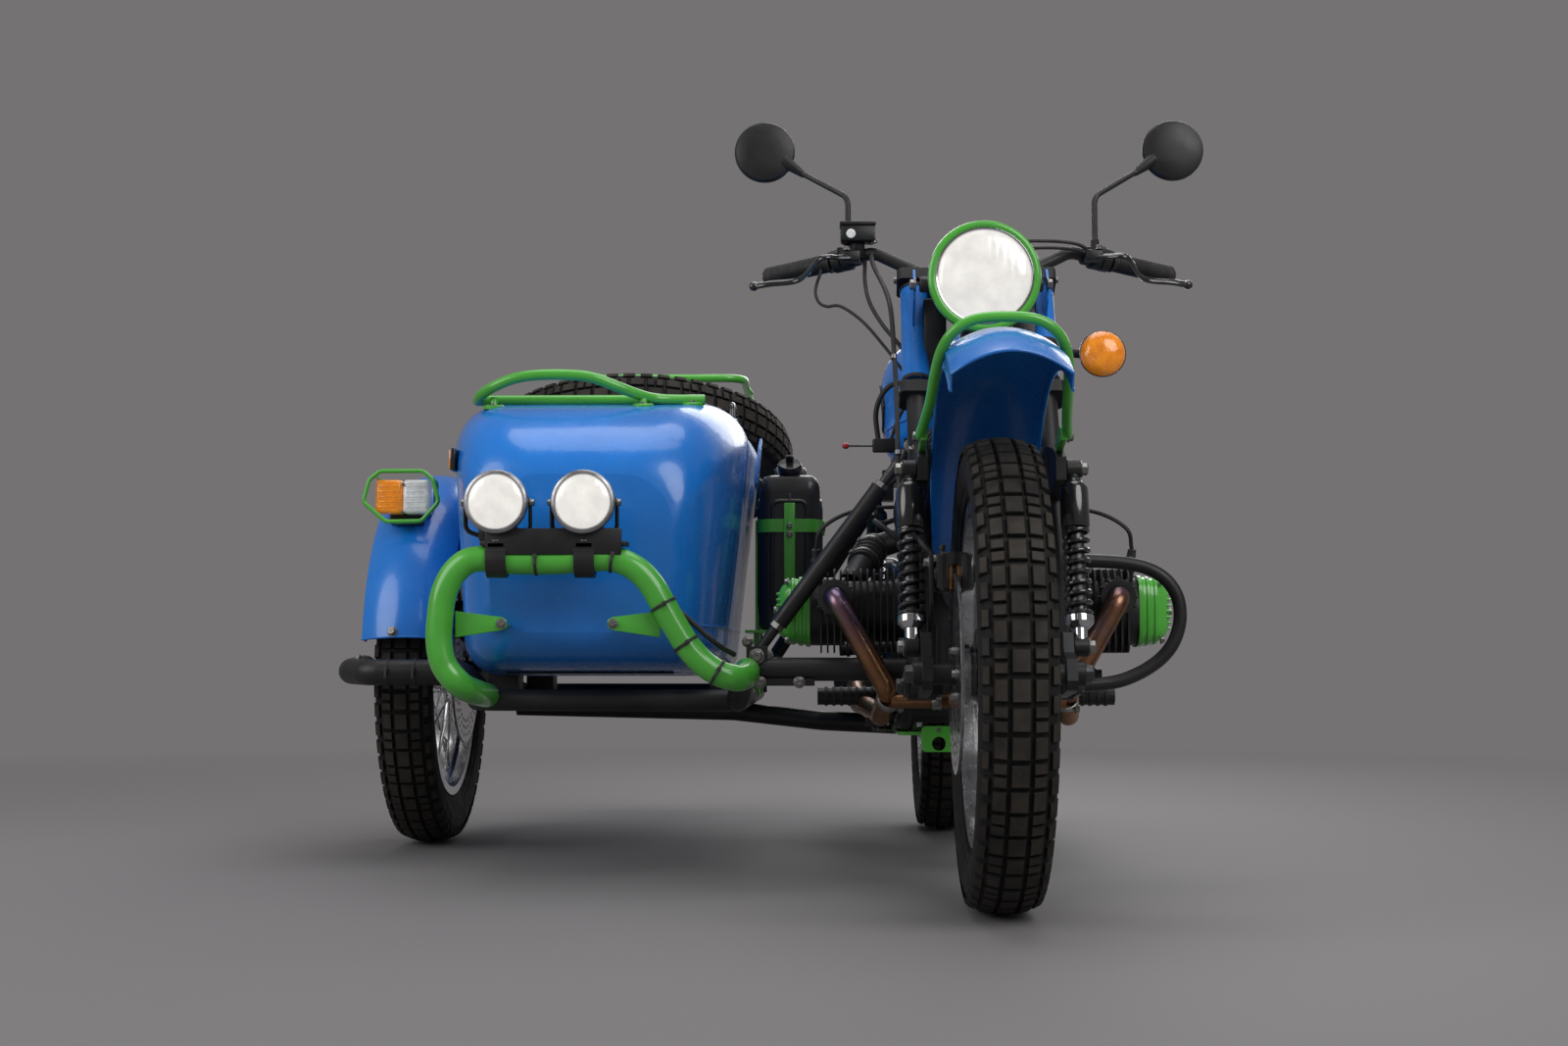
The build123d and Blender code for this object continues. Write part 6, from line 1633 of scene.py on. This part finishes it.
def make_body_trim():
    form = Form()
    body = surface_of("sidecar_body")
    edge = [(-157, 793), (157, 793), (211, 957), (211, 1269), (-211, 1269), (-211, 957)]
    loop = loop_on(body, [(SIDECAR_X + x, y) for x, y in edge], 1.5, 76)
    smooth = []
    for i in range(len(loop)):
        near = [loop[(i + k) % len(loop)] for k in (-2, -1, 0, 1, 2)]
        # the edge lies lower at the back, where the spare tyre swings over it
        dip = 7.5 * min(1, max(0, (loop[i].y - 1190) / 60))
        smooth.append(at(loop[i].x, loop[i].y, sum(p.z for p in near) / 5 - dip))
    form.tube(smooth, 9.5, "rubber", 14, closed=True)
    # pressed seams along the body's sides
    for side in SIDES:
        spots = []
        for y in range(520, 1881, 24):
            spot = met(body, (SIDECAR_X + side * 500, y, 430), (-side, 0, 0))[0]
            spots.append((spot.x if spot else None, y, 430))
        seam(form, spots, 2.2, "blue")
        # grab handle beside the cockpit
        spots = [(SIDECAR_X + side * 236, 1000), (SIDECAR_X + side * 236, 1160)]
        feet = [at(x, y, (down(body, x, y) or 850)) for x, y in spots]
        form.tube(rounded([feet[0], feet[0] + at(0, 6, 34), feet[1] + at(0, -6, 34), feet[1]], 16),
                  6, "gloss", 14)
        for foot in feet:
            form.lathe(foot, UP, [(-3, 12), (2, 12), (4, 9)], "gloss", 24)
    # low fin at the body's left edge, behind the cockpit rail
    fin = [(-60, -42), (44, -50), (58, -36), (40, 26), (22, 48), (-6, 52), (-30, 30), (-54, -10)]
    form.slab(fin, (SIDECAR_X + 291, 936, 752), BACK, (0.1, 0, 1), 5, "blue", 1.6)
    for dy in (-36, 0, 34):
        form.bolt((SIDECAR_X + 295, 936 + dy, 716), LEFT, 8, "gloss")
    # windscreen studs along the cowl
    for x in (-120, -40, 40, 120):
        z = down(body, SIDECAR_X + x, 770)
        if z:
            form.lathe((SIDECAR_X + x, 770, z), (0, -0.1, 1), [(-2, 7), (1, 7), (3, 5.5), (3.4, 0)], "zinc",
                       20)
    # floor lining and its heel mat
    form.box((SIDECAR_X, 730, 348), (300, 250, 4), "carpet", 1.5)
    for k in range(9):
        form.box((SIDECAR_X, 640 + 20 * k, 351.2), (250, 7, 3), "rubber", 1.2)
    form.done("sidecar_body_trim", CHASSIS)
    lid = Form()
    # seal round the lid, straps' bolts, the handle's rubber and the pad under the spare
    corner = [(-176, 1336), (176, 1336), (148, 1862), (-148, 1862)]
    rows = rounded([(x, y, 0) for x, y in corner], 40, 8, closed=True)
    path = [on_deck(p.x, p.y, 3.6) for p in rows]
    lid.tube(path, 1.6, "rubber", 6, closed=True)
    for x in (-110, 110):
        for y in (1362, 1386):
            lid.bolt(on_deck(x, y, 7.6 - (0 if y < 1380 else 1)), DECK_UP, 9)
    lid.tube([on_deck(-30, 1846, 22), on_deck(30, 1846, 22)], 6.4, "rubber", 16)
    lid.lathe(on_deck(0, 1586, 28), DECK_UP, [(0, 54), (4, 52), (5, 40)], "black", 48)
    # bolts of the spare's hub plate
    for x, y in around(5, 34):
        lid.bolt(on_deck(x, 1586 + y, 146.5), DECK_UP, 12)
    # rack: bands at its welds, and strap hooks
    for x in (-755, -677, -599, -515):
        for y in (1450, 1850):
            lid.band((x, y + (6 if y < 1600 else -6), 996), BACK, 5.8, 5, 1.4, "green", 20)
    for x, y in ((-835, 1560), (-835, 1740), (-435, 1560), (-435, 1740)):
        out = -1 if x < SIDECAR_X else 1
        hook = [(x + out * 6, y, 990), (x + out * 14, y, 978), (x + out * 14, y + 26, 978),
                (x + out * 6, y + 26, 990)]
        lid.tube(rounded(hook, 8), 3, "green", 10)
    lid.done("trunk_lid_trim", TRUNK)


class SIDECAR_OT_body_trim(Piece, bpy.types.Operator):
    """Makes the cockpit's padded edge, the body's seams, fin and lining, and the lid's trim"""
    bl_idname = "sidecar.body_trim"
    bl_label = "Sidecar body trim"

    def execute(self, context):
        make_body_trim()
        return {"FINISHED"}


def make_sidecar_lamps():
    form = Form()
    for x in (-799, -655):
        face, back = (x, 302, 631), BACK
        form.lathe(face, back, [(16, 40), (16, 50), (24, 50.5), (40, 48), (58, 43), (70, 33), (77, 18),
                                (79, 0)], "gloss", 72)
        form.lathe(face, back, [(2.5, 44.6), (0, 46.4), (0.4, 49.4), (3, 52.4), (7, 53), (14, 53), (17, 51)],
                   "steel", 80)
        form.lathe(face, back, [(3, 45.5), (0.4, 42), (-2.4, 32), (-4, 16), (-4.4, 0)], "lit", 72)
        # yoke and its side bolts
        for out in SIDES:
            form.lathe((x + out * 46, 330, 631), (out, 0, 0), [(0, 9), (6, 9), (7, 7.5)], "black", 20)
            form.bolt((x + out * 54.5, 330, 631), (out, 0, 0), 10)
        form.tube(rounded([(x - 54, 330, 632), (x - 54, 336, 585), (x - 30, 340, 576), (x + 30, 340, 576),
                           (x + 54, 336, 585), (x + 54, 330, 632)], 16), 4.2, "black", 10, flat=0.7)
        form.lathe((x, 340, 580), DOWN, [(0, 9), (14, 9)], "zinc", 6)
        form.tube(flowing([(x + 4, 378, 622), (x + 8, 404, 600), (x + 20, 398, 562), (x + 36, 372, 546)], 10),
                  3.2, "rubber", 10)
        form.box((x, 336, 586), (64, 30, 44), "black", 9)
    form.box((-705, 342, 563), (244, 44, 8), "black", 2)
    form.box((-705, 320, 566), (226, 6, 44), "black", 2)
    for x in (-800, -654):
        form.band((x, 340, 535), LEFT, 22.6, 34, 6, "black", 48)
        form.box((x, 340, 560), (32, 46, 12), "black", 3)
        for dy in (-17, 17):
            form.bolt((x, 340 + dy, 567), UP, 10)
    # marker lamp on the fender: half amber, half clear
    x, y, z = MARKER
    form.box((x, y + 22, z), (100, 30, 62), "gloss", 7)
    form.box((x, y + 20, z - 36), (60, 44, 30), "black", 4)
    form.box((x + 8, y - 2, z - 49), (58, 26, 7), "black", 1.5)
    for side, finish in ((-1, "amber"), (1, "clear")):
        form.box((x + side * 26.6, y - 12, z + 1), (52, 48, 66), finish, 8, steps=4)
        for step in range(-2, 3):
            form.box((x + side * 26.6, y - 35.6, z + 1 + step * 10), (38, 2.4, 3), finish, 1)
    for dz in (24, -30):
        form.screw((x + 2, y - 36, z + dz), AHEAD, 3.2, "zinc")
    form.done("sidecar_lamps_glazed", CHASSIS, ("sidecar_lamps",))


class SIDECAR_OT_sidecar_lamps(Piece, bpy.types.Operator):
    """Makes the two nose lamps on their bracket and the fender's marker lamp"""
    bl_idname = "sidecar.sidecar_lamps"
    bl_label = "Sidecar lamps"

    def execute(self, context):
        make_sidecar_lamps()
        return {"FINISHED"}


MARKER = (-1068, 885, 683)
# the marker guard's front loop, as places across and up from the lamp
MARKER_LOOP = ((-41, 49), (42, 49), (61, 32), (73, -10), (40, -47), (-28, -48), (-73, -10), (-61, 33))
# smooth runs of the green and black guard tubes, as places along their middle lines
BUMPER = ((-851, 551, 309), (-853, 420, 318), (-864, 350, 332), (-887, 340, 362), (-896, 340, 400),
          (-895, 340, 440), (-888, 340, 484), (-868, 340, 520), (-836, 340, 538), (-775, 340, 534),
          (-700, 340, 534), (-625, 340, 539), (-594, 340, 534), (-565, 340, 518), (-543, 340, 494),
          (-524, 340, 462), (-506, 340, 430), (-486, 340, 398), (-462, 340, 370), (-434, 341, 350),
          (-404, 350, 341), (-390, 384, 345), (-388, 428, 353))
RAIL_ARCH = ((-898, 700, 849), (-886, 668, 856), (-858, 642, 868), (-820, 632, 881), (-776, 629, 887),
             (-716, 629, 887), (-676, 632, 882), (-636, 642, 868), (-596, 664, 855), (-560, 690, 850),
             (-478, 703, 850))
CRASH_BAR = ((84, 428, 542), (96, 386, 541), (146, 368, 537), (212, 366, 534), (251, 366, 530),
             (284, 366, 521), (311, 366, 503), (328, 366, 477), (333, 366, 448), (329, 366, 419),
             (316, 366, 391), (293, 366, 367), (260, 366, 347), (222, 366, 334), (168, 366, 329),
             (124, 372, 330), (112, 400, 331), (112, 444, 332))
HOOP_SIDE = ((112, 60, 712), (107, 24, 727), (101, -36, 752), (97, -88, 784), (89, -124, 814),
             (72, -144, 838), (44, -151, 853))


def make_guards():
    form = Form()
    form.tube(flowing(BUMPER), 22, "green", 24)
    # tapered tabs from the tube back to the nose, bolted at their tips
    for x0, x1 in ((-872, -786), (-530, -618)):
        way = 1 if x1 > x0 else -1
        form.slab([(x0, 452), (x0, 408), (x1 - way * 8, 420), (x1, 425), (x1, 437), (x1 - way * 8, 442)],
                  (0, 356, 0), LEFT, UP, 5, "green", 1)
        form.box(((x0 + x1) / 2 + way * 10, 406, 430), (50, 98, 5), "green", 1)
        form.bolt((x1 - way * 9, 353, 431), AHEAD, 11)
    form.done("nose_bumper_bent", CHASSIS, ("nose_bumper",))
    rail = Form()
    rail.tube(flowing(RAIL_ARCH), 10, "green", 16)
    rail.tube([(-898, 704, 850), (-560, 704, 850)], 10, "green", 16)
    body = surface_of("sidecar_body")
    for x, y in ((-862, 664), (-588, 664), (-500, 700)):
        low = down(body, x, y)
        rail.tube([(x, y + 4, 850), (x, y, low - 2)], 7, "green", 12)
        rail.lathe((x, y, low), (0, -0.1, 1), [(-4, 20), (1.5, 20), (3, 18.5), (3.4, 9)], "green", 36)
        for turn in (0.5, 2.6, 4.7):
            rail.screw((x + 14 * cos(turn), y + 14 * sin(turn), low + 2.5), (0, -0.1, 1), 3.4, "zinc")
    rail.done("nose_rail_bent", CHASSIS, ("nose_rail",))
    bar = Form()
    bar.tube(flowing(CRASH_BAR), 11.2, "black", 18)
    bar.done("crash_bar_bent", CHASSIS, ("crash_bar",))
    hoop = Form()
    left = [(-x, y, z) for x, y, z in HOOP_SIDE]
    hoop.tube(flowing([*left, (0, -152, 857), *HOOP_SIDE[::-1]]), 8, "green", 16)
    for side in SIDES:
        hoop.slab([(52, 703), (52, 722), (70, 726), (130, 704), (120, 690), (70, 702)],
                  (side * 106, 0, 0), BACK, UP, 11, "green", 1.5)
    hoop.done("fender_hoop_bent", FORK, ("fender_hoop",))
    cage = Form()
    x, y, z = MARKER
    cage.tube(rounded([(x + a, y - 46, z + b) for a, b in MARKER_LOOP], 16, closed=True), 4.2, "green", 14,
              closed=True)
    for a in (-50, 52):
        cage.tube(rounded([(x + a, y - 44, z + 41), (x + a, y + 44, z + 34), (x + a * 0.9, y + 62, z - 2)],
                          20), 3.8, "green", 12)
    cage.box((x + 6, y - 24, z - 49), (40, 46, 4), "green", 1)
    cage.done("marker_guard_bent", CHASSIS, ("lamp_guard",))


class SIDECAR_OT_guards(Piece, bpy.types.Operator):
    """Makes the nose bumper, nose rail, crash bar, fender hoop and marker guard from bent tube"""
    bl_idname = "sidecar.guards"
    bl_label = "Guards"

    def execute(self, context):
        make_guards()
        return {"FINISHED"}


def make_guard_trim():
    form = Form()
    # cable ties on the bumper tube, as x, z along the tube and its direction there
    for x, z, a, c in ((-735, 534, 1, 0), (-608, 538, 1, -0.2), (-524, 462, 0.5, -0.87),
                       (-486, 398, 0.57, -0.82), (-434, 350, 0.85, -0.5)):
        form.tie((x, 340, z), (a, 0, c), 22.6, (0, -1, 0.3))
    # loom along the back of the bumper
    form.tube(flowing([(-800, 366, 556), (-760, 368, 552), (-680, 370, 554), (-620, 366, 545),
                       (-560, 366, 500), (-500, 366, 452), (-440, 372, 400), (-410, 420, 380)], 8),
              4.6, "rubber", 10)
    # amber reflector on the body's right side; its faint glow is painted light, as a reflector is no lamp
    wall = across(surface_of("sidecar_body"), -1, 590, 727, 1500)
    form.box((wall - 2, 590, 727), (9, 64, 40), "gloss", 2)
    form.box((wall - 6, 590, 727), (6, 58, 34), "amber", 2)
    # bolt low on the front of the sidecar's fender
    spot, out = met(surface_of("sidecar_fender"), (-1067, 500, 424), BACK)
    if spot:
        form.bolt(spot, out, 13)
    # wheel bumper: end cap and ties
    form.lathe((-1144, 888, 356), (0, 1, 0.03), [(0, 23.6), (4, 23.8), (7, 20), (8, 0)], "rubber", 40)
    for x in (-1010, -1060):
        form.tie((x, 714, 348), LEFT, 24.2, (0, -1, 0.2))
    form.done("guard_ties_and_bolts", CHASSIS)


class SIDECAR_OT_guard_trim(Piece, bpy.types.Operator):
    """Makes the ties, loom, reflector, end cap and bolts of the guards and nose"""
    bl_idname = "sidecar.guard_trim"
    bl_label = "Guard trim"

    def execute(self, context):
        make_guard_trim()
        return {"FINISHED"}


def make_jerrycan():
    form = Form()
    x, y, z = -326, 1140, 598
    wide, deep, high = 122, 280, 335
    shell_low = z - high / 2
    # body: a ring of sections with rounded corners and a shoulder
    sections = ((0, 24, 6), (4, 26, 2), (12, 26, 0.3), (high - 64, 26, 0.3), (high - 44, 26, 1.5),
                (high - 30, 24, 9), (high - 26.5, 22, 16))
    rings = []
    for up, corner, inset in sections:
        ring = rounded([(x + a * (wide / 2 - inset), y + b * (deep / 2 - inset), shell_low + up)
                        for a, b in ((1, 1), (-1, 1), (-1, -1), (1, -1))], corner, 8, closed=True)
        rings.append(ring)
    form.skin(rings, "can")
    # pressed cross and frame on both broad sides, and ribs on the ends
    for side in SIDES:
        face, end = x + side * (wide / 2 - 1.4), y + side * (deep / 2 - 1.4)
        for a in SIDES:
            form.tube([(face, y + a * 96, z - 118), (face, y - a * 96, z + 78)], 6.5, "can")
        loop = [(face, y + a * 108, z + b) for a, b in ((-1, -132), (1, -132), (1, 92), (-1, 92))]
        form.tube(rounded(loop, 26, 8, closed=True), 5, "can", closed=True)
        loop = [(x + a * 34, end, z + b) for a, b in ((-1, -130), (1, -130), (1, 88), (-1, 88))]
        form.tube(rounded(loop, 16, 8, closed=True), 4.4, "can", closed=True)
    # welded seam round the middle
    form.box((x, y - deep / 2 - 0.2, z - 20), (6, 3, high - 90), "can", 1)
    # three handles
    for dx in (-26, 0, 26):
        path = rounded([(x + dx, y - 62, z + 132), (x + dx, y - 58, z + 158), (x + dx, y + 96, z + 158),
                        (x + dx, y + 104, z + 132)], 14)
        form.tube(path, 6.2, "can")
    # spout and lever cap
    way = at(0, -16, 23).normalized()
    spout = at(x, y - 100, z + high / 2 - 24)
    form.lathe(spout, way, [(-12, 23), (14, 21), (16, 24), (22, 24.5), (27, 22), (28, 12), (28, 0)],
               "can", 48)
    form.box(spout + way * 24 + at(0, 12, 6), (16, 52, 6), "can", 2, Matrix.Rotation(radians(-24), 3, "X"))
    form.done("jerrycan_pressed", CHASSIS, ("jerrycan",))
    trim = Form()
    trim.box((x + wide / 2 + 5.8, y - 60, 637), (6, 34, 30), "green", 1.5)
    trim.box((x + wide / 2 + 9, y - 60, 637), (3, 40, 12), "zinc", 1)
    trim.bolt((x, y - deep / 2 - 5, 637), AHEAD, 10)
    # upright strap over the can's front end
    trim.box((x, y - deep / 2 - 5.6, 560), (22, 3, 244), "green", 1)
    for dz in (-112, 60):
        trim.bolt((x, y - deep / 2 - 7, 560 + dz), AHEAD, 9)
    trim.done("can_straps", CHASSIS)


class SIDECAR_OT_jerrycan(Piece, bpy.types.Operator):
    """Makes the fuel can with its pressed panels, cap and handles, and its straps"""
    bl_idname = "sidecar.jerrycan"
    bl_label = "Jerrycan"

    def execute(self, context):
        make_jerrycan()
        return {"FINISHED"}


# --- studio ---
# where the floor begins and ends to fade into the surroundings, in metres from the middle
FLOOR_FADE = (1.5, 5)
# strength of the surroundings as a light
SKY_LIGHT = 0.42


def make_studio():
    scene = bpy.context.scene
    studio = settings()[3]
    backdrop = (*studio.backdrop, 1)
    lens = bpy.data.cameras.new("camera")
    lens.lens, lens.sensor_width = 46.15, 36
    lens.clip_end = 200
    camera = added("camera", lens)
    camera.location = mm(-260, -2985, 370)
    camera.rotation_euler = (radians(93.91), 0, radians(1.106))
    scene.camera = camera
    for name, place, aim, size, power in (
            ("key_lamp", (2300, -2900, 3300), (0, 500, 500), 3.4, studio.key),
            ("fill_lamp", (-3600, -1400, 2200), (-700, 700, 500), 2.8, studio.fill),
            ("top_lamp", (-300, 900, 4200), (-300, 900, 0), 3.4, studio.fill),
            ("back_lamp", (600, 4600, 2600), (-200, 900, 500), 2.8, studio.fill)):
        light = bpy.data.lights.new(name, "AREA")
        light.shape, light.size, light.energy = "DISK", size, power
        lamp = added(name, light)
        lamp.location = mm(*place)
        way = mm(*aim) - lamp.location
        lamp.rotation_euler = way.to_track_quat("-Z", "Y").to_euler()
    # floor: keeps the shadow near the object and fades to the surroundings
    mesh = bpy.data.meshes.new("floor")
    shell = bmesh.new()
    bmesh.ops.create_circle(shell, cap_ends=True, segments=96, radius=40)
    shell.to_mesh(mesh)
    shell.free()
    added("floor", mesh)
    n = Nodes("studio_floor")
    n.base(tuple(studio.floor))
    n.set(Roughness=0.75)
    spot = n.node("ShaderNodeVectorMath", operation="LENGTH")
    n.link(n.place(), spot.inputs[0])
    glow = n.node("ShaderNodeEmission", Color=backdrop, Strength=1)
    n.link(n.blend(n.spread(spot.outputs["Value"], *FLOOR_FADE), n.shader.outputs[0], glow.outputs[0]),
           n.tree.nodes["Material Output"].inputs["Surface"])
    mesh.materials.append(n.material)
    # surroundings: plain grey to the eye and in reflections, white and soft as a light
    scene.world = scene.world or bpy.data.worlds.new("surroundings")
    n = Nodes("surroundings", scene.world)
    n.tree.nodes.clear()
    rays = n.node("ShaderNodeLightPath").outputs
    seen = n.node("ShaderNodeBackground", Color=backdrop, Strength=1)
    light = n.node("ShaderNodeBackground", Color=(1, 1, 1, 1), Strength=SKY_LIGHT)
    plain = n.combine("MAXIMUM", rays["Is Camera Ray"], rays["Is Glossy Ray"])
    both = n.combine("MAXIMUM", plain, rays["Is Transmission Ray"])
    n.link(n.blend(both, light.outputs[0], seen.outputs[0]),
           n.node("ShaderNodeOutputWorld").inputs["Surface"])
    scene.view_settings.view_transform = "Standard"


class SIDECAR_OT_studio(Piece, bpy.types.Operator):
    """Makes the camera, the floor, the soft lamps and the plain surroundings"""
    bl_idname = "sidecar.studio"
    bl_label = "Studio"

    def execute(self, context):
        make_studio()
        return {"FINISHED"}


# --- the add-on ---
PIECES = (SIDECAR_OT_finishes, SIDECAR_OT_tyres, SIDECAR_OT_wheel_trim, SIDECAR_OT_shocks,
          SIDECAR_OT_headlamp, SIDECAR_OT_bar_controls, SIDECAR_OT_mirrors, SIDECAR_OT_brakes,
          SIDECAR_OT_turn_signal, SIDECAR_OT_front_trim, SIDECAR_OT_tank_trim, SIDECAR_OT_seats,
          SIDECAR_OT_valve_covers, SIDECAR_OT_guards, SIDECAR_OT_engine_trim, SIDECAR_OT_tail,
          SIDECAR_OT_frame_trim, SIDECAR_OT_body_trim, SIDECAR_OT_sidecar_lamps, SIDECAR_OT_guard_trim,
          SIDECAR_OT_jerrycan, SIDECAR_OT_studio)


class SIDECAR_PT_panel(bpy.types.Panel):
    """Lists the pieces of the sidecar motorcycle and its settings"""
    bl_idname = "SIDECAR_PT_panel"
    bl_label = "Sidecar Motorcycle"
    bl_space_type = "VIEW_3D"
    bl_region_type = "UI"
    bl_category = "Sidecar"

    def draw(self, context):
        column = self.layout.column(align=True)
        for piece in PIECES:
            column.operator(piece.bl_idname)
        for name, group in GROUPS.items():
            box = self.layout.box()
            values = getattr(context.scene, name)
            for key in group.__annotations__:
                box.prop(values, key)


def register():
    for group in GROUPS.values():
        bpy.utils.register_class(group)
    for name, group in GROUPS.items():
        setattr(bpy.types.Scene, name, PointerProperty(type=group))
    for piece in PIECES:
        bpy.utils.register_class(piece)
    bpy.utils.register_class(SIDECAR_PT_panel)


def unregister():
    bpy.utils.unregister_class(SIDECAR_PT_panel)
    for piece in reversed(PIECES):
        bpy.utils.unregister_class(piece)
    for name in GROUPS:
        delattr(bpy.types.Scene, name)
    for group in reversed(list(GROUPS.values())):
        bpy.utils.unregister_class(group)


def main():
    register()
    for piece in PIECES:
        family, action = piece.bl_idname.split(".")
        getattr(getattr(bpy.ops, family), action)()
    bpy.context.view_layer.update()


if __name__ == "__main__":
    main()
